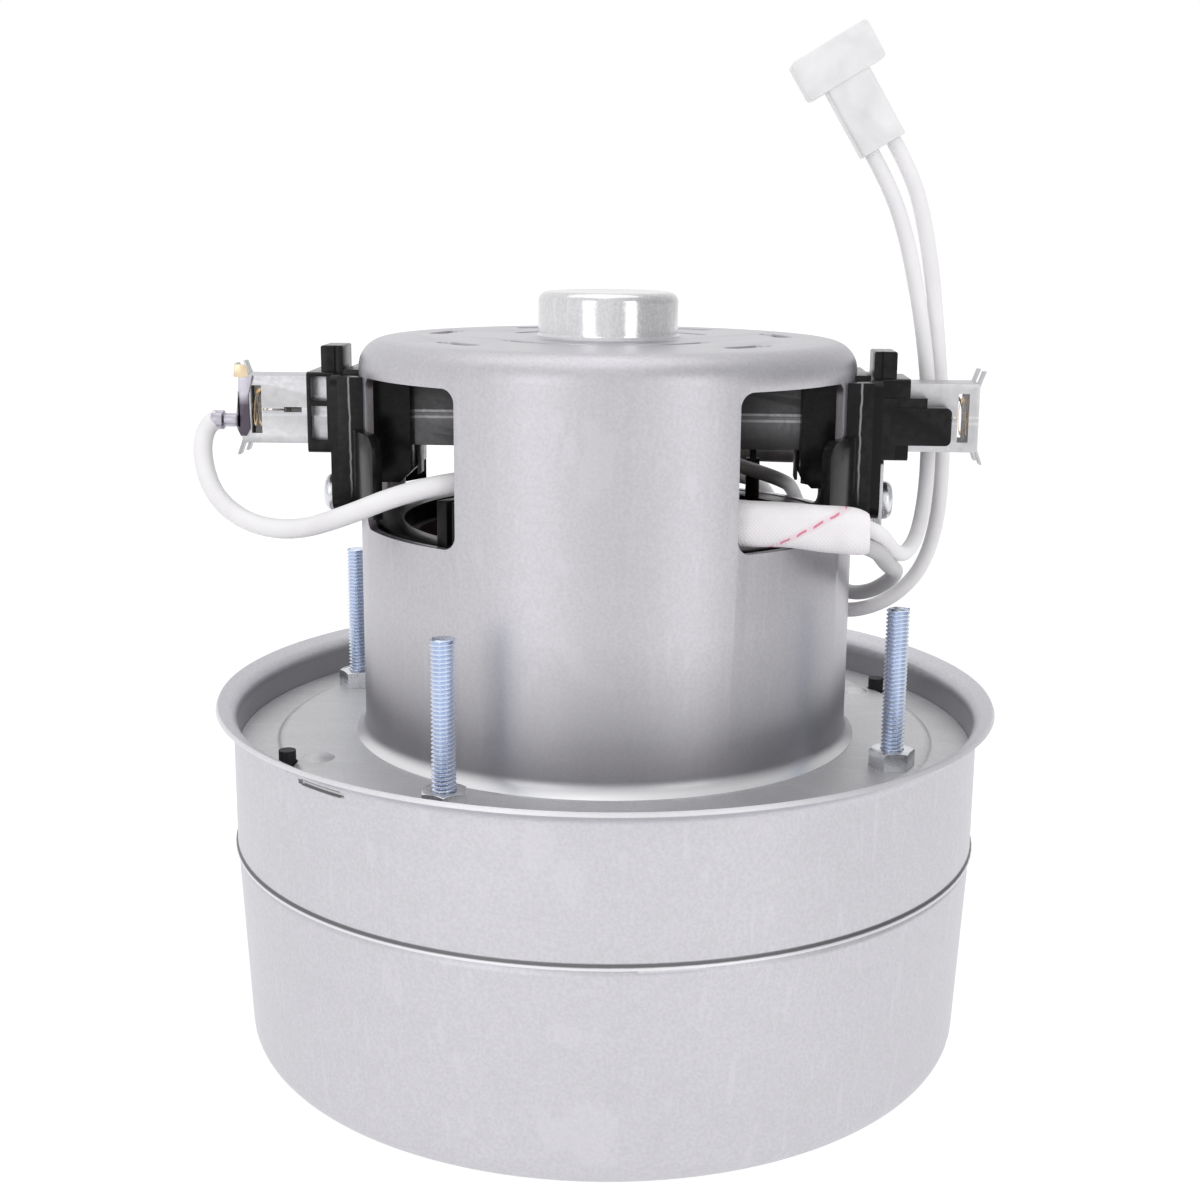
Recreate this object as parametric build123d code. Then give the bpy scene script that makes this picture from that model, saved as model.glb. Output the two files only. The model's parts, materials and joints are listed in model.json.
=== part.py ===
from build123d import *
import math
import os

# Vacuum motor unit, in millimetres. Z is the shaft's axis, up; the origin is on the floor of the fan cover.
# The brushes lie along X, and the front is at -Y. Angles are in degrees from the front, positive to +X.

# Overall heights and radii
can_radius = 44.5
can_top = 129.5
boss_radius = 12.55
boss_top = 137.7
plate_top = 57.8
seam_height = 38.6
rim_radius = 71.4
rim_top = 64.1
band_radius = 68.3
cut_overrun = 2.0
seat_gap = 0.05
loose_gap = 0.15

# Motor can
can_sheet = 1.5
can_shoulder_round = 5.0
boss_edge_round = 1.8
boss_foot_round = 1.0
can_foot_width = 1.7
can_foot_rise = 2.8
can_foot_edge = 0.25
can_foot_near_share = 0.3
can_foot_low_share = 0.35
window_width = 27.4
window_low = 97.2
window_high = 123.4
window_corner = 2.4
window_angle = 48.9
side_opening_half_width = 9.8
side_opening_low = 103.8
side_opening_high = 124.3
side_opening_corner = 1.0
inner_vent_radius = 20.4
inner_vent_width = 2.0
inner_vent_span = 112.0
outer_vent_radius = 32.4
outer_vent_width = 3.4
outer_vent_span = 13.0
outer_vent_angles = (49.0, 109.0, 154.0)

# Motor bracket
plate_sheet = 1.2
plate_step_inset = 8.3
plate_step_drop = 0.7
plate_step_run = 0.6
plate_edge_round = 0.4
bearing_cup_round = 1.4
bracket_hole_radius = 8.0
air_passage_radius = 27.0
air_passage_width = 13.0
air_passage_span = 18.0
air_passage_count = 6
peg_radius = 1.5
peg_circle_inset = 7.4
peg_clearance = 0.3
peg_angles = (-62.0, 118.0)
lance_span = 4.6
lance_width = 0.5
dimple_circle_inset = 12.9
dimple_radius = 2.9
dimple_height = 0.9

# Housing band
band_sheet = 0.8
seam_lip_radius = 68.7
seam_lip_height = 0.4
seam_lip_rise = 0.55
rim_slope_rise = 1.6
rim_round = 2.2
slit_low = 61.0
slit_height = 0.8
slit_span = 9.5
slit_angles = (-38.8, 141.2)
seam_tab_drop = 0.4
seam_tab_angle = 11.4
seam_tab_span = 8.9

# Fan cover
cover_sheet = 0.8
cover_floor_radius = 66.4
cover_top_radius = 68.2
cover_floor_round = 4.8
cover_joggle_drop = 1.2
cover_joggle_rise = 1.6
cover_joggle_round = 1.0
inlet_radius = 20.0
inlet_lip_height = 5.4
inlet_lip_round = 2.5

# Studs, nuts and small screws
stud_circle_radius = 56.0
stud_angle = -24.6
stud_count = 4
stud_radius = 2.0
stud_root_radius = 1.9
stud_relief = 0.1
stud_length = 28.0
stud_head_radius = 3.1
stud_head_height = 2.0
stud_clearance = 0.15
nut_across_flats = 7.0
nut_height = 3.2
nut_chamfer = 0.5
clamp_screw_radius = 1.45
clamp_screw_length = 7.4
clamp_screw_height = 100.8
screw_head_radius = 2.9
screw_head_height = 1.8
screw_head_round = 1.2
screw_recess_width = 0.8
screw_recess_length = 3.4
screw_recess_depth = 0.9

# Brush gear
brush_line = 116.25
tube_width = 8.4
tube_height = 12.1
tube_sheet = 0.5
tube_inner_end = 14.6
tube_outer_end = 66.0
tube_slot_near = 62.3
tube_slot_far = 64.2
tube_slot_height = 8.6
tube_seam_height = 0.3
tube_seam_near = 55.0
tube_seam_length = 7.0
tube_notch_height = 0.9
tube_notch_length = 3.2
tube_end_hole_radius = 2.0
tab_rise = 2.2
tab_lean = 1.0
tab_gap_half = 1.9
tab_half_width = 4.1
brush_clearance = 0.25
brush_length = 30.0
commutator_gap = 0.05
spring_wire_radius = 0.35
spring_radius = 2.95
spring_turns = 7
spring_seat_gap = 0.1

# Brush holders
core_inner_face = 34.5
core_half_width = 9.4
core_low = 104.1
core_high = 124.0
core_chamfer = 2.0
flange_low = 99.0
flange_high = 123.2
flange_half_width = 15.5
flange_face = 46.2
outer_plate_face = 48.2
outer_plate_half_width = 12.2
outer_plate_corner = 2.6
collar_face = 53.5
collar_half_width = 6.6
collar_low = 108.8
collar_corner = 0.9
collar_window_near = 49.9
collar_window_far = 52.8
collar_window_low = 111.2
collar_window_high = 122.6
collar_window_bar_low = 117.2
collar_window_bar_high = 118.2
clip_near = 47.3
clip_far = 51.3
clip_half_width = 4.0
clip_high = 127.8
clip_groove_width = 0.4
clip_groove_at = 48.5
ear_near_angle = 56.0
ear_far_angle = 70.5
ear_low = 100.0
ear_high = 114.2
ear_thickness = 1.8
ear_corner = 3.0
shroud_near = 48.2
shroud_far = 60.6
shroud_depth = 4.3
shroud_low = 111.8
shroud_high = 118.4
shroud_step_far = 56.4
shroud_step_rise = 1.6
shroud_block_far = 51.0
shroud_block_low = 109.4
shroud_corner = 1.0
strip_sheet = 0.75
strip_half_width = 4.2
strip_low = 95.0
strip_corner = 1.2
lock_tab_drop = 5.6
lock_tab_half_width = 2.5

# Stator
stator_radius = 42.6
stator_low = 66.0
stator_high = 94.0
yoke_inner_radius = 35.0
pole_half_width = 12.0
pole_bore_radius = 18.3
pole_tip_radius = 22.6
pole_half_angle = 64.0
stator_flat = 40.6
coil_side = 7.0
coil_near = 23.0
coil_far = 28.3
coil_overhang = 6.1
coil_clearance = 0.3
coil_corner = 3.0
frame_outer_radius = 41.5
frame_inner_radius = 36.9
frame_foot_low = 59.6
terminal_block_angle = -36.0
terminal_block_width = 5.6
terminal_block_near = 37.4
terminal_block_high = 104.5
terminal_block_slot = 1.2
guide_post_near = 26.2
guide_post_width = 2.6
guide_post_front = 23.4
guide_post_shoulder = 105.0
guide_post_neck_width = 1.2
guide_post_high = 108.0

# Rotor
shaft_radius = 4.0
shaft_collar_radius = 5.0
shaft_low = 8.6
shaft_thread_radius = 3.9
armature_radius = 17.6
armature_slots = 12
armature_slot_radius = 2.3
armature_slot_circle = 13.4
armature_slot_mouth = 1.7
winding_inner_radius = 6.8
winding_outer_radius = 16.2
winding_top_height = 9.2
winding_low = 58.9
winding_round = 3.4
winding_gap = 0.2
commutator_radius = 12.0
commutator_bore = 8.6
commutator_low = 106.0
commutator_high = 125.0
riser_radius = 13.4
riser_height = 2.2
bar_count = 24
bar_slit_width = 0.45
bar_slit_depth = 1.1

# Bearings, each 8 x 22 x 7
bearing_bore_radius = 4.0
bearing_outer_radius = 11.0
bearing_width = 7.0
bearing_chamfer = 0.5
inner_ring_radius = 6.05
outer_ring_bore = 9.0
ball_radius = 1.93
ball_circle_radius = 7.52
raceway_clearance = 0.1
ball_count = 7
cage_half_height = 0.8
cage_half_width = 0.55
top_bearing_low = 128.6
bottom_bearing_low = 49.8
wave_washer_height = 0.45
wave_washer_inner = 8.2

# Fans
fan_wall_gap = 4.9
second_fan_radius = 61.0
fan_sheet = 0.8
fan_eye_radius = 21.6
fan_blade_count = 8
fan_blade_sheet = 0.9
fan_blade_inner = 25.0
fan_blade_inset = 0.8
fan_blade_sweep = 62.0
fan_blade_mid_share = 0.5
fan_blade_bend_share = 0.36
fan_edge_rise = 3.0
first_fan_low = 6.2
first_fan_height = 11.6
second_fan_low = 31.6
second_fan_height = 11.2
washer_radius = 12.0
washer_height = 1.1
spacer_radius = 6.6
shaft_nut_across_flats = 13.0
shaft_nut_height = 6.5
bore_clearance = 0.05

# Stage divider and diffuser
guide_wall_gap = 5.55
guide_sheet = 0.9
guide_vane_count = 9
guide_vane_sheet = 1.2
guide_vane_inner = 24.0
guide_vane_inset = 1.0
guide_vane_sweep = -48.0
divider_low = 19.9
divider_high = 30.2
divider_bore = 8.6
divider_wall_gap = 0.15
diffuser_low = 45.0
diffuser_disc = 1.4
diffuser_bore = 13.6
diffuser_vane_inner = 36.0
diffuser_vane_gap = 2.65
diffuser_disc_gap = 6.45
diffuser_vane_count = 10
diffuser_vane_sweep = -34.0
diffuser_vane_sheet = 1.6
diffuser_peg_height = 2.8
diffuser_head_gap = 0.6

# Thermal protector and its woven sleeve
sleeve_near = 17.0
sleeve_far = 44.5
sleeve_height = 8.4
sleeve_depth = 7.0
sleeve_wall = 0.5
sleeve_centre_y = -32.5
sleeve_lift = 0.2
protector_near = 19.0
protector_far = 35.2
protector_height = 6.0
protector_depth = 5.4
protector_round = 1.6

# Leads and plug
lead_diameter = 2.8
jumper_diameter = 3.4
inner_jumper_diameter = 3.0
corner_share = 0.45
terminal_sheet = 0.5
terminal_half_width = 3.4
terminal_half_height = 5.0
terminal_ear_half_width = 1.5
terminal_ear_rise = 2.2
barrel_radius = 2.0
barrel_wall = 0.28
barrel_length = 4.6
barrel_overlap = 0.4
plug_lean = 31.0
plug_width = 8.6
plug_depth = 6.2
plug_body_length = 13.2
plug_head_width = 15.2
plug_head_depth = 7.4
plug_head_length = 7.4
plug_corner = 0.8
plug_cavity_width = 2.9
plug_cavity_depth = 3.4
plug_wire_half_pitch = 2.2
contact_width = 1.4
contact_length = 12.0
contact_back = 1.5

# Routes of the leads, chosen by hand; each begins and ends where the lead is held
jumper_route = (
    (-71.2, -4.2, 114.2),
    (-73.0, -5.6, 112.8),
    (-73.4, -8.0, 108.0),
    (-69.8, -12.4, 101.8),
    (-61.8, -17.4, 98.2),
    (-52.4, -22.4, 98.2),
    (-42.8, -28.2, 101.6),
    (-34.2, -33.0, 105.2),
    (-26.4, -34.0, 107.4),
    (-18.6, -31.4, 108.2),
    (-11.6, -26.4, 106.4),
    (-11.0, -25.6, 100.5),
)
protector_route = (
    (35.4, -32.5, 100.4),
    (46.2, -32.4, 100.2),
    (48.6, -24.6, 94.8),
    (50.8, -14.8, 91.8),
    (52.6, -5.4, 88.6),
    (52.2, 3.6, 84.9),
    (49.4, 10.6, 81.4),
    (45.8, 17.6, 79.8),
    (41.8, 24.6, 82.0),
    (38.6, 29.6, 89.4),
    (36.0, 31.0, 98.4),
    (32.6, 22.4, 101.2),
    (26.6, 18.6, 103.6),
    (20.0, 20.2, 105.4),
    (14.9, 24.8, 104.9),
    (14.5, 25.5, 100.5),
)
supply_outer_route = (
    (50.49, 9.7, 164.53),
    (54.2, 9.7, 158.36),
    (57.6, 10.0, 151.0),
    (60.2, 10.4, 141.8),
    (61.8, 10.8, 130.6),
    (62.7, 11.0, 118.4),
    (63.3, 11.2, 106.6),
    (62.8, 11.6, 95.4),
    (60.2, 12.0, 86.6),
    (55.6, 12.2, 81.2),
    (50.4, 12.8, 78.2),
    (45.8, 15.6, 76.6),
    (42.2, 22.2, 76.2),
    (38.0, 29.8, 79.6),
    (34.2, 35.2, 87.6),
    (31.0, 36.2, 98.0),
    (24.2, 31.8, 100.8),
    (16.8, 33.2, 100.4),
    (10.2, 34.2, 99.3),
    (9.6, 28.8, 98.6),
)
supply_inner_route = (
    (35.4, -32.5, 103.4),
    (46.4, -32.4, 103.4),
    (48.2, -24.6, 98.8),
    (50.2, -15.4, 95.6),
    (52.8, -6.0, 93.6),
    (55.4, 2.4, 95.2),
    (57.2, 7.6, 101.4),
    (58.2, 9.2, 110.0),
    (58.5, 9.4, 119.6),
    (57.8, 9.6, 129.6),
    (56.2, 9.7, 139.8),
    (53.6, 9.7, 149.2),
    (50.01, 9.7, 156.78),
    (46.71, 9.7, 162.27),
)
inner_jumper_route = (
    (2.5, 25.6, 100.5),
    (2.6, 26.2, 105.0),
    (8.8, 32.8, 106.2),
    (18.4, 35.6, 104.8),
    (28.2, 30.2, 105.0),
    (35.2, 21.4, 106.0),
    (37.4, 14.6, 107.2),
    (37.6, 9.7, 107.4),
)


# Simple solids
def rod(radius, low, high):
    return extrude(Plane.XY.offset(low) * Circle(radius), high - low)


def ring(outer, inner, low, high):
    return extrude(Plane.XY.offset(low) * (Circle(outer) - Circle(inner)), high - low)


def block(x_range, y_range, z_range):
    """A box between two values along each axis."""
    size = [high - low for low, high in (x_range, y_range, z_range)]
    centre = [(high + low) / 2 for low, high in (x_range, y_range, z_range)]
    return Pos(*centre) * Box(*size)


def turned(points):
    """The solid that an outline of (radius, height) points sweeps about the shaft."""
    return revolve(Plane.XZ * make_face(Polyline(*points, close=True)), Axis.Z)


def pressed(points, rounds, sheet):
    """A round pressing: the sheet lies to the left of an outline of (radius, height) points."""
    line = FilletPolyline(*points, radius=rounds)
    outline = offset(line, amount=sheet, side=Side.LEFT)
    return revolve(Plane.XZ * make_face(outline), Axis.Z)


def arc_slot(radius, width, angle, span, low, high):
    """A slot with round ends that follows a circle about the shaft."""
    centre_line = CenterArc((0, 0), radius, angle - 90 - span / 2, span)
    return extrude(Plane.XY.offset(low) * SlotArc(centre_line, width), high - low)


def sector(outer, inner, angle, span, low, high):
    """A piece of a ring, between two radii and over a span of angle."""
    half = math.radians(span / 2)
    reach = outer / math.cos(half)
    corner = (reach * math.sin(half), -reach * math.cos(half))
    wedge = make_face(Polyline((0, 0), corner, (-corner[0], corner[1]), close=True))
    slice_face = (Circle(outer) - Circle(inner)) & wedge
    return Rot(0, 0, angle) * extrude(Plane.XY.offset(low) * slice_face, high - low)


def around(radius, angle, height=0.0):
    """Turns and moves a piece made at the origin to a place on a circle about the shaft."""
    return Rot(0, 0, angle) * Pos(0, -radius, height)


def rounded_plate(width, height, corner, thickness):
    """A plate in the XZ plane with round corners, its thickness along Y about zero."""
    face = Plane.XZ * RectangleRounded(width, height, corner)
    return Pos(0, thickness / 2, 0) * extrude(face, thickness)


def hexagon(across_flats, low, high, bore):
    face = RegularPolygon(across_flats / 2, 6, major_radius=False) - Circle(bore)
    return extrude(Plane.XY.offset(low) * face, high - low)


def mirrored_pair(right_piece):
    """The right piece, and the same piece turned half round the shaft for the left."""
    return right_piece, Rot(0, 0, 180) * right_piece


# Leads
def corner_radii(points):
    """The arc radius at each inner point of a route: as large as its two runs allow."""
    radii = []
    for before, here, after in zip(points, points[1:], points[2:]):
        run_in = Vector(*here) - Vector(*before)
        run_out = Vector(*after) - Vector(*here)
        turn = math.radians(run_in.get_angle(run_out))
        radii.append(corner_share * min(run_in.length, run_out.length) / math.tan(turn / 2))
    return radii


def lead(name, points, diameter):
    """A lead as one tube along straight runs and tangent arcs."""
    radii = corner_radii(points)
    path = FilletPolyline(*points, radius=radii)
    first_run = Vector(*points[1]) - Vector(*points[0])
    section = Plane(origin=points[0], z_dir=first_run) * Circle(diameter / 2)
    tube = sweep(section, path=path)
    length = sum(edge.length for edge in path.edges())
    ideal = length * math.pi * diameter**2 / 4
    print(name, "length", round(length, 1), "volume share", round(tube.volume / ideal, 4),
          "radii", [round(radius, 1) for radius in radii])
    return tube


# Housing
def fan_cover():
    points = (
        (inlet_radius, inlet_lip_height),
        (inlet_radius, 0),
        (cover_floor_radius, 0),
        (cover_top_radius, seam_height - cover_joggle_drop),
        (cover_neck_radius, seam_height - cover_joggle_drop + cover_joggle_rise),
        (cover_neck_radius, plate_low_edge - seat_gap),
    )
    rounds = (inlet_lip_round, cover_floor_round, cover_joggle_round, cover_joggle_round)
    return pressed(points, rounds, cover_sheet)


def housing_band():
    points = (
        (seam_lip_radius, seam_height),
        (seam_lip_radius, seam_height + seam_lip_height),
        (band_radius, seam_height + seam_lip_height + seam_lip_rise),
        (band_radius, rim_top - rim_slope_rise),
        (rim_radius, rim_top),
    )
    rounds = (band_sheet + seat_gap, band_sheet + seat_gap, rim_round)
    band = pressed(points, rounds, band_sheet)
    for angle in slit_angles:
        slit_outer = band_radius + cut_overrun
        slit_inner = band_radius - cut_overrun
        band -= sector(slit_outer, slit_inner, angle, slit_span, slit_low, slit_low + slit_height)
    tab_inner = seam_lip_radius - band_sheet
    tab = sector(seam_lip_radius, tab_inner, seam_tab_angle, seam_tab_span,
                 seam_height - seam_tab_drop, seam_height)
    return band + tab


def motor_bracket():
    cup_floor = bottom_bearing_low
    points = (
        (band_radius - band_sheet - seat_gap, plate_top - plate_step_drop),
        (plate_step_radius + plate_step_run, plate_top - plate_step_drop),
        (plate_step_radius, plate_top),
        (bearing_outer_radius + seat_gap, plate_top),
        (bearing_outer_radius + seat_gap, cup_floor),
        (bracket_hole_radius, cup_floor),
    )
    rounds = (plate_edge_round, plate_edge_round + plate_sheet, bearing_cup_round, plate_edge_round)
    bracket = pressed(points, rounds, plate_sheet)
    low = plate_top - plate_sheet - cut_overrun
    high = plate_top + cut_overrun
    for index in range(air_passage_count):
        angle = index * 360 / air_passage_count
        bracket -= arc_slot(air_passage_radius, air_passage_width, angle,
                            air_passage_span, low, high)
    for index in range(stud_count):
        hole = rod(stud_radius + stud_clearance, low, high)
        bracket -= around(stud_circle_radius, stud_angle + index * 360 / stud_count) * hole
    for angle in peg_angles:
        bracket -= around(peg_circle_radius, angle) * rod(peg_radius + peg_clearance, low, high)
        bracket -= arc_slot(peg_circle_radius, lance_width, angle - lance_span / 2,
                            lance_span, low, high)
        bracket += around(dimple_circle_radius, angle, plate_top) * dimple()
    return bracket


def dimple():
    """A pressed dimple: the cap of a sphere, closed into the plate under it."""
    sphere_radius = (dimple_radius**2 + dimple_height**2) / (2 * dimple_height)
    ball = Pos(0, 0, dimple_height - sphere_radius) * Sphere(sphere_radius)
    return ball & rod(dimple_radius + cut_overrun, -plate_sheet / 2, dimple_height)


def can_foot():
    """The flare at the can's lower end, by which it stands on the plate."""
    near = can_radius + can_foot_width * can_foot_near_share
    low = plate_top + can_foot_edge
    rise = can_foot_rise - can_foot_edge
    return turned((
        (can_radius - can_sheet, plate_top),
        (can_radius + can_foot_width, plate_top),
        (can_radius + can_foot_width, low),
        (near, low + rise * can_foot_low_share),
        (can_radius, plate_top + can_foot_rise),
        (can_radius - can_sheet, plate_top + can_foot_rise),
    ))


def motor_can():
    points = (
        (can_radius, plate_top),
        (can_radius, can_top),
        (boss_radius, can_top),
        (boss_radius, boss_top),
        (0, boss_top),
    )
    rounds = (can_shoulder_round, boss_foot_round, boss_edge_round)
    can = pressed(points, rounds, can_sheet) + can_foot()
    for angle in window_angles:
        can -= window_cutter(angle, 0)
    height = side_opening_high - side_opening_low
    opening = rounded_plate(2 * side_opening_half_width, height, side_opening_corner, can_radius)
    for angle in (-90, 90):
        middle = (side_opening_high + side_opening_low) / 2
        can -= around(can_radius, angle, middle) * opening
        hole = Rot(90, 0, 0) * rod(clamp_screw_radius + seat_gap, -cut_overrun, can_sheet + cut_overrun)
        can -= around(can_radius - can_sheet, angle, clamp_screw_height) * hole
    low = can_top - can_sheet - cut_overrun
    high = can_top + cut_overrun
    for angle in (0, 180):
        can -= arc_slot(inner_vent_radius, inner_vent_width, angle, inner_vent_span, low, high)
    for angle in outer_vent_angles:
        for side in (-1, 1):
            can -= arc_slot(outer_vent_radius, outer_vent_width, side * angle,
                            outer_vent_span, low, high)
    return can


def window_cutter(angle, inset):
    """The rounded block that cuts one window, smaller all round by the inset."""
    height = window_high - window_low
    plate = rounded_plate(window_width - 2 * inset, height - 2 * inset, window_corner, can_radius)
    return around(can_radius, angle, (window_high + window_low) / 2) * plate


def mounting_studs():
    """Four screws held under the plate; they are full size only above their nuts."""
    head_top = plate_top - plate_sheet
    stud = rod(stud_radius, plate_top + nut_height + stud_relief, plate_top + stud_length)
    stud = chamfer(stud.edges().sort_by(Axis.Z)[-1], nut_chamfer)
    stud += rod(stud_root_radius, head_top - stud_head_height, plate_top + stud_length / 2)
    stud += rod(stud_head_radius, head_top - stud_head_height, head_top)
    places = [around(stud_circle_radius, stud_angle + index * 360 / stud_count)
              for index in range(stud_count)]
    return Compound(children=[place * stud for place in places])


def stud_nuts():
    nut = hexagon(nut_across_flats, plate_top, plate_top + nut_height, stud_radius + seat_gap)
    corner_radius = nut_across_flats / math.sqrt(3)
    cone = turned(((0, plate_top - nut_chamfer), (corner_radius + nut_chamfer, plate_top - nut_chamfer),
                   (corner_radius + nut_chamfer, plate_top + nut_height - nut_chamfer),
                   (nut_across_flats / 2, plate_top + nut_height), (0, plate_top + nut_height)))
    nut = nut & cone
    places = [around(stud_circle_radius, stud_angle + index * 360 / stud_count)
              for index in range(stud_count)]
    return Compound(children=[place * nut for place in places])


# Brush gear, modelled on the right and turned half round for the left
def brush_holder():
    tube_low = brush_line - tube_height / 2 - seat_gap
    tube_high = brush_line + tube_height / 2 + seat_gap
    flange = block((core_inner_face, flange_face), (-flange_half_width, flange_half_width),
                   (flange_low, flange_high))
    height = flange_high - flange_low
    plate = rounded_plate(2 * outer_plate_half_width, height, outer_plate_corner,
                          outer_plate_face - flange_face)
    plate_middle = (outer_plate_face + flange_face) / 2
    flange += around(plate_middle, 90, (flange_high + flange_low) / 2) * plate
    for side in (-1, 1):
        flange += ear(side)
    flange -= rod(can_radius + seat_gap, flange_low - cut_overrun, flange_high + cut_overrun)
    holder = flange + holder_core() + holder_collar() + holder_clip() + holder_shroud()
    holder -= block((core_inner_face - cut_overrun, shroud_far + cut_overrun),
                    (-tube_width / 2 - seat_gap, tube_width / 2 + seat_gap), (tube_low, tube_high))
    hole = rod(clamp_screw_radius + seat_gap, 0, outer_plate_face + cut_overrun)
    return holder - Pos(0, 0, clamp_screw_height) * Rot(0, 90, 0) * hole


def ear(side):
    """A lug that lies round the can and covers the outer edge of a window."""
    middle = (ear_near_angle + ear_far_angle) / 2
    span = ear_far_angle - ear_near_angle
    pad = sector(can_radius + ear_thickness, can_radius - cut_overrun, middle, span, ear_low, ear_high)
    edges = pad.edges().group_by(Axis.Z)[-1].filter_by(GeomType.LINE).sort_by(Axis.Y)
    pad = fillet(edges[0], ear_corner)
    return pad if side < 0 else mirror(pad, about=Plane.XZ)


def holder_core():
    core = block((core_inner_face, flange_face), (-core_half_width, core_half_width),
                 (core_low, core_high))
    lower_edge = core.edges().filter_by(Axis.Y).sort_by(Axis.X)[:2].sort_by(Axis.Z)[0]
    return chamfer(lower_edge, core_chamfer)


def holder_collar():
    """The thick rim round the tube, with two windows in the side that has no shroud."""
    collar = block((outer_plate_face - cut_overrun, collar_face),
                   (-collar_half_width, collar_half_width), (collar_low, flange_high))
    collar = fillet(collar.edges().filter_by(Axis.X), collar_corner)
    for low, high in ((collar_window_low, collar_window_bar_low),
                      (collar_window_bar_high, collar_window_high)):
        collar -= block((collar_window_near, collar_window_far),
                        (tube_width / 2, collar_half_width + cut_overrun), (low, high))
    return collar


def holder_clip():
    clip = block((clip_near, clip_far), (-clip_half_width, clip_half_width),
                 (flange_high - cut_overrun, clip_high))
    clip = fillet(clip.edges().group_by(Axis.Z)[-1], clip_groove_width)
    groove = block((clip_groove_at, clip_groove_at + clip_groove_width),
                   (-clip_half_width - cut_overrun, -clip_half_width + clip_groove_width),
                   (flange_high, clip_high + cut_overrun))
    return clip - groove - mirror(groove, about=Plane.XZ)


def holder_shroud():
    """The cover of the contact beside the tube, with its step and its root block."""
    near_face = -tube_width / 2 - seat_gap
    far_face = near_face - shroud_depth
    body = block((shroud_near, shroud_far), (far_face, near_face), (shroud_low, shroud_high))
    body = fillet(body.edges().group_by(Axis.X)[-1].filter_by(Axis.Y), shroud_corner)
    step = block((shroud_near, shroud_step_far), (far_face + shroud_corner, near_face),
                 (shroud_high - shroud_corner, shroud_high + shroud_step_rise))
    root = block((shroud_near, shroud_block_far), (far_face, near_face),
                 (shroud_block_low, shroud_high + shroud_step_rise))
    return body + step + root


def brush_tube():
    low = brush_line - tube_height / 2
    high = brush_line + tube_height / 2
    half = tube_width / 2
    tube = block((tube_inner_end, tube_outer_end), (-half, half), (low, high))
    tube -= block((tube_inner_end - cut_overrun, tube_outer_end - tube_sheet),
                  (-half + tube_sheet, half - tube_sheet), (low + tube_sheet, high - tube_sheet))
    across = (-half - cut_overrun, half + cut_overrun)
    tube -= block((tube_slot_near, tube_slot_far), across,
                  (brush_line - tube_slot_height / 2, brush_line + tube_slot_height / 2))
    tube -= block((tube_seam_near, tube_seam_near + tube_seam_length), across,
                  (brush_line - tube_seam_height / 2, brush_line + tube_seam_height / 2))
    tube -= block((tube_seam_near, tube_seam_near + tube_notch_length), across,
                  (brush_line - tube_notch_height / 2, brush_line + tube_notch_height / 2))
    end_hole = Rot(0, 90, 0) * rod(tube_end_hole_radius, tube_outer_end - cut_overrun,
                                   tube_outer_end + cut_overrun)
    tube -= Pos(0, 0, brush_line) * end_hole
    for side in (-1, 1):
        tube += end_tab(high, side, 1)
        tube += end_tab(low, side, -1)
    lock_tab = block((core_inner_face - seat_gap - tube_sheet, core_inner_face - seat_gap),
                     (-lock_tab_half_width, lock_tab_half_width), (low - lock_tab_drop, low + tube_sheet))
    return tube + lock_tab


def end_tab(height, side, up):
    """A flared tab at one corner of the tube's outer end."""
    root = height - up * tube_sheet
    tip = height + up * tab_rise
    outline = Polyline((tube_outer_end - tube_sheet, root), (tube_outer_end, root),
                       (tube_outer_end + tab_lean, tip), (tube_outer_end + tab_lean - tube_sheet, tip),
                       close=True)
    plate = extrude(Plane.XZ * make_face(outline), tab_half_width - tab_gap_half)
    if side < 0:
        return Pos(0, -tab_gap_half, 0) * plate
    return Pos(0, tab_half_width, 0) * plate


def brush():
    half = tube_width / 2 - tube_sheet - brush_clearance
    half_height = tube_height / 2 - tube_sheet - brush_clearance
    body = block((0, brush_tail), (-half, half), (brush_line - half_height, brush_line + half_height))
    return body - rod(commutator_radius + commutator_gap, commutator_low, commutator_high)


def spring():
    """A coil spring between the brush and the end of its tube, as tangent arcs of a quarter turn."""
    length = spring_far - spring_near
    pitch = length / spring_turns
    steps = 4 * spring_turns

    def place(index):
        angle = math.radians(90 * index)
        return Vector(spring_near + length * index / steps, spring_radius * math.cos(angle),
                      spring_radius * math.sin(angle))

    def heading(index):
        angle = math.radians(90 * index)
        around_step = 2 * math.pi * spring_radius
        return Vector(pitch, -around_step * math.sin(angle), around_step * math.cos(angle)).normalized()

    edges = []
    for index in range(steps):
        edges += biarc(place(index), heading(index), place(index + 1), heading(index + 1))
    path = Wire(edges)
    section = Plane(origin=place(0), z_dir=heading(0)) * Circle(spring_wire_radius)
    coil = sweep(section, path=path)
    print("spring self gap", round(pitch * math.cos(math.atan(pitch / (2 * math.pi * spring_radius)))
                                   - 2 * spring_wire_radius, 2))
    return Pos(0, 0, brush_line) * coil


def biarc(start, start_heading, end, end_heading):
    """Two tangent arcs that join two points with given headings."""
    chord = end - start
    both = start_heading + end_heading
    bend = 2 * (1 - start_heading.dot(end_heading))
    along = chord.dot(both)
    reach = (-along + math.sqrt(along**2 + bend * chord.dot(chord))) / bend
    first_corner = start + start_heading * reach
    second_corner = end - end_heading * reach
    joint = (first_corner + second_corner) * 0.5
    joint_heading = (second_corner - first_corner).normalized()
    return [Edge.make_tangent_arc(start, start_heading, joint),
            Edge.make_tangent_arc(joint, joint_heading, end)]


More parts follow.
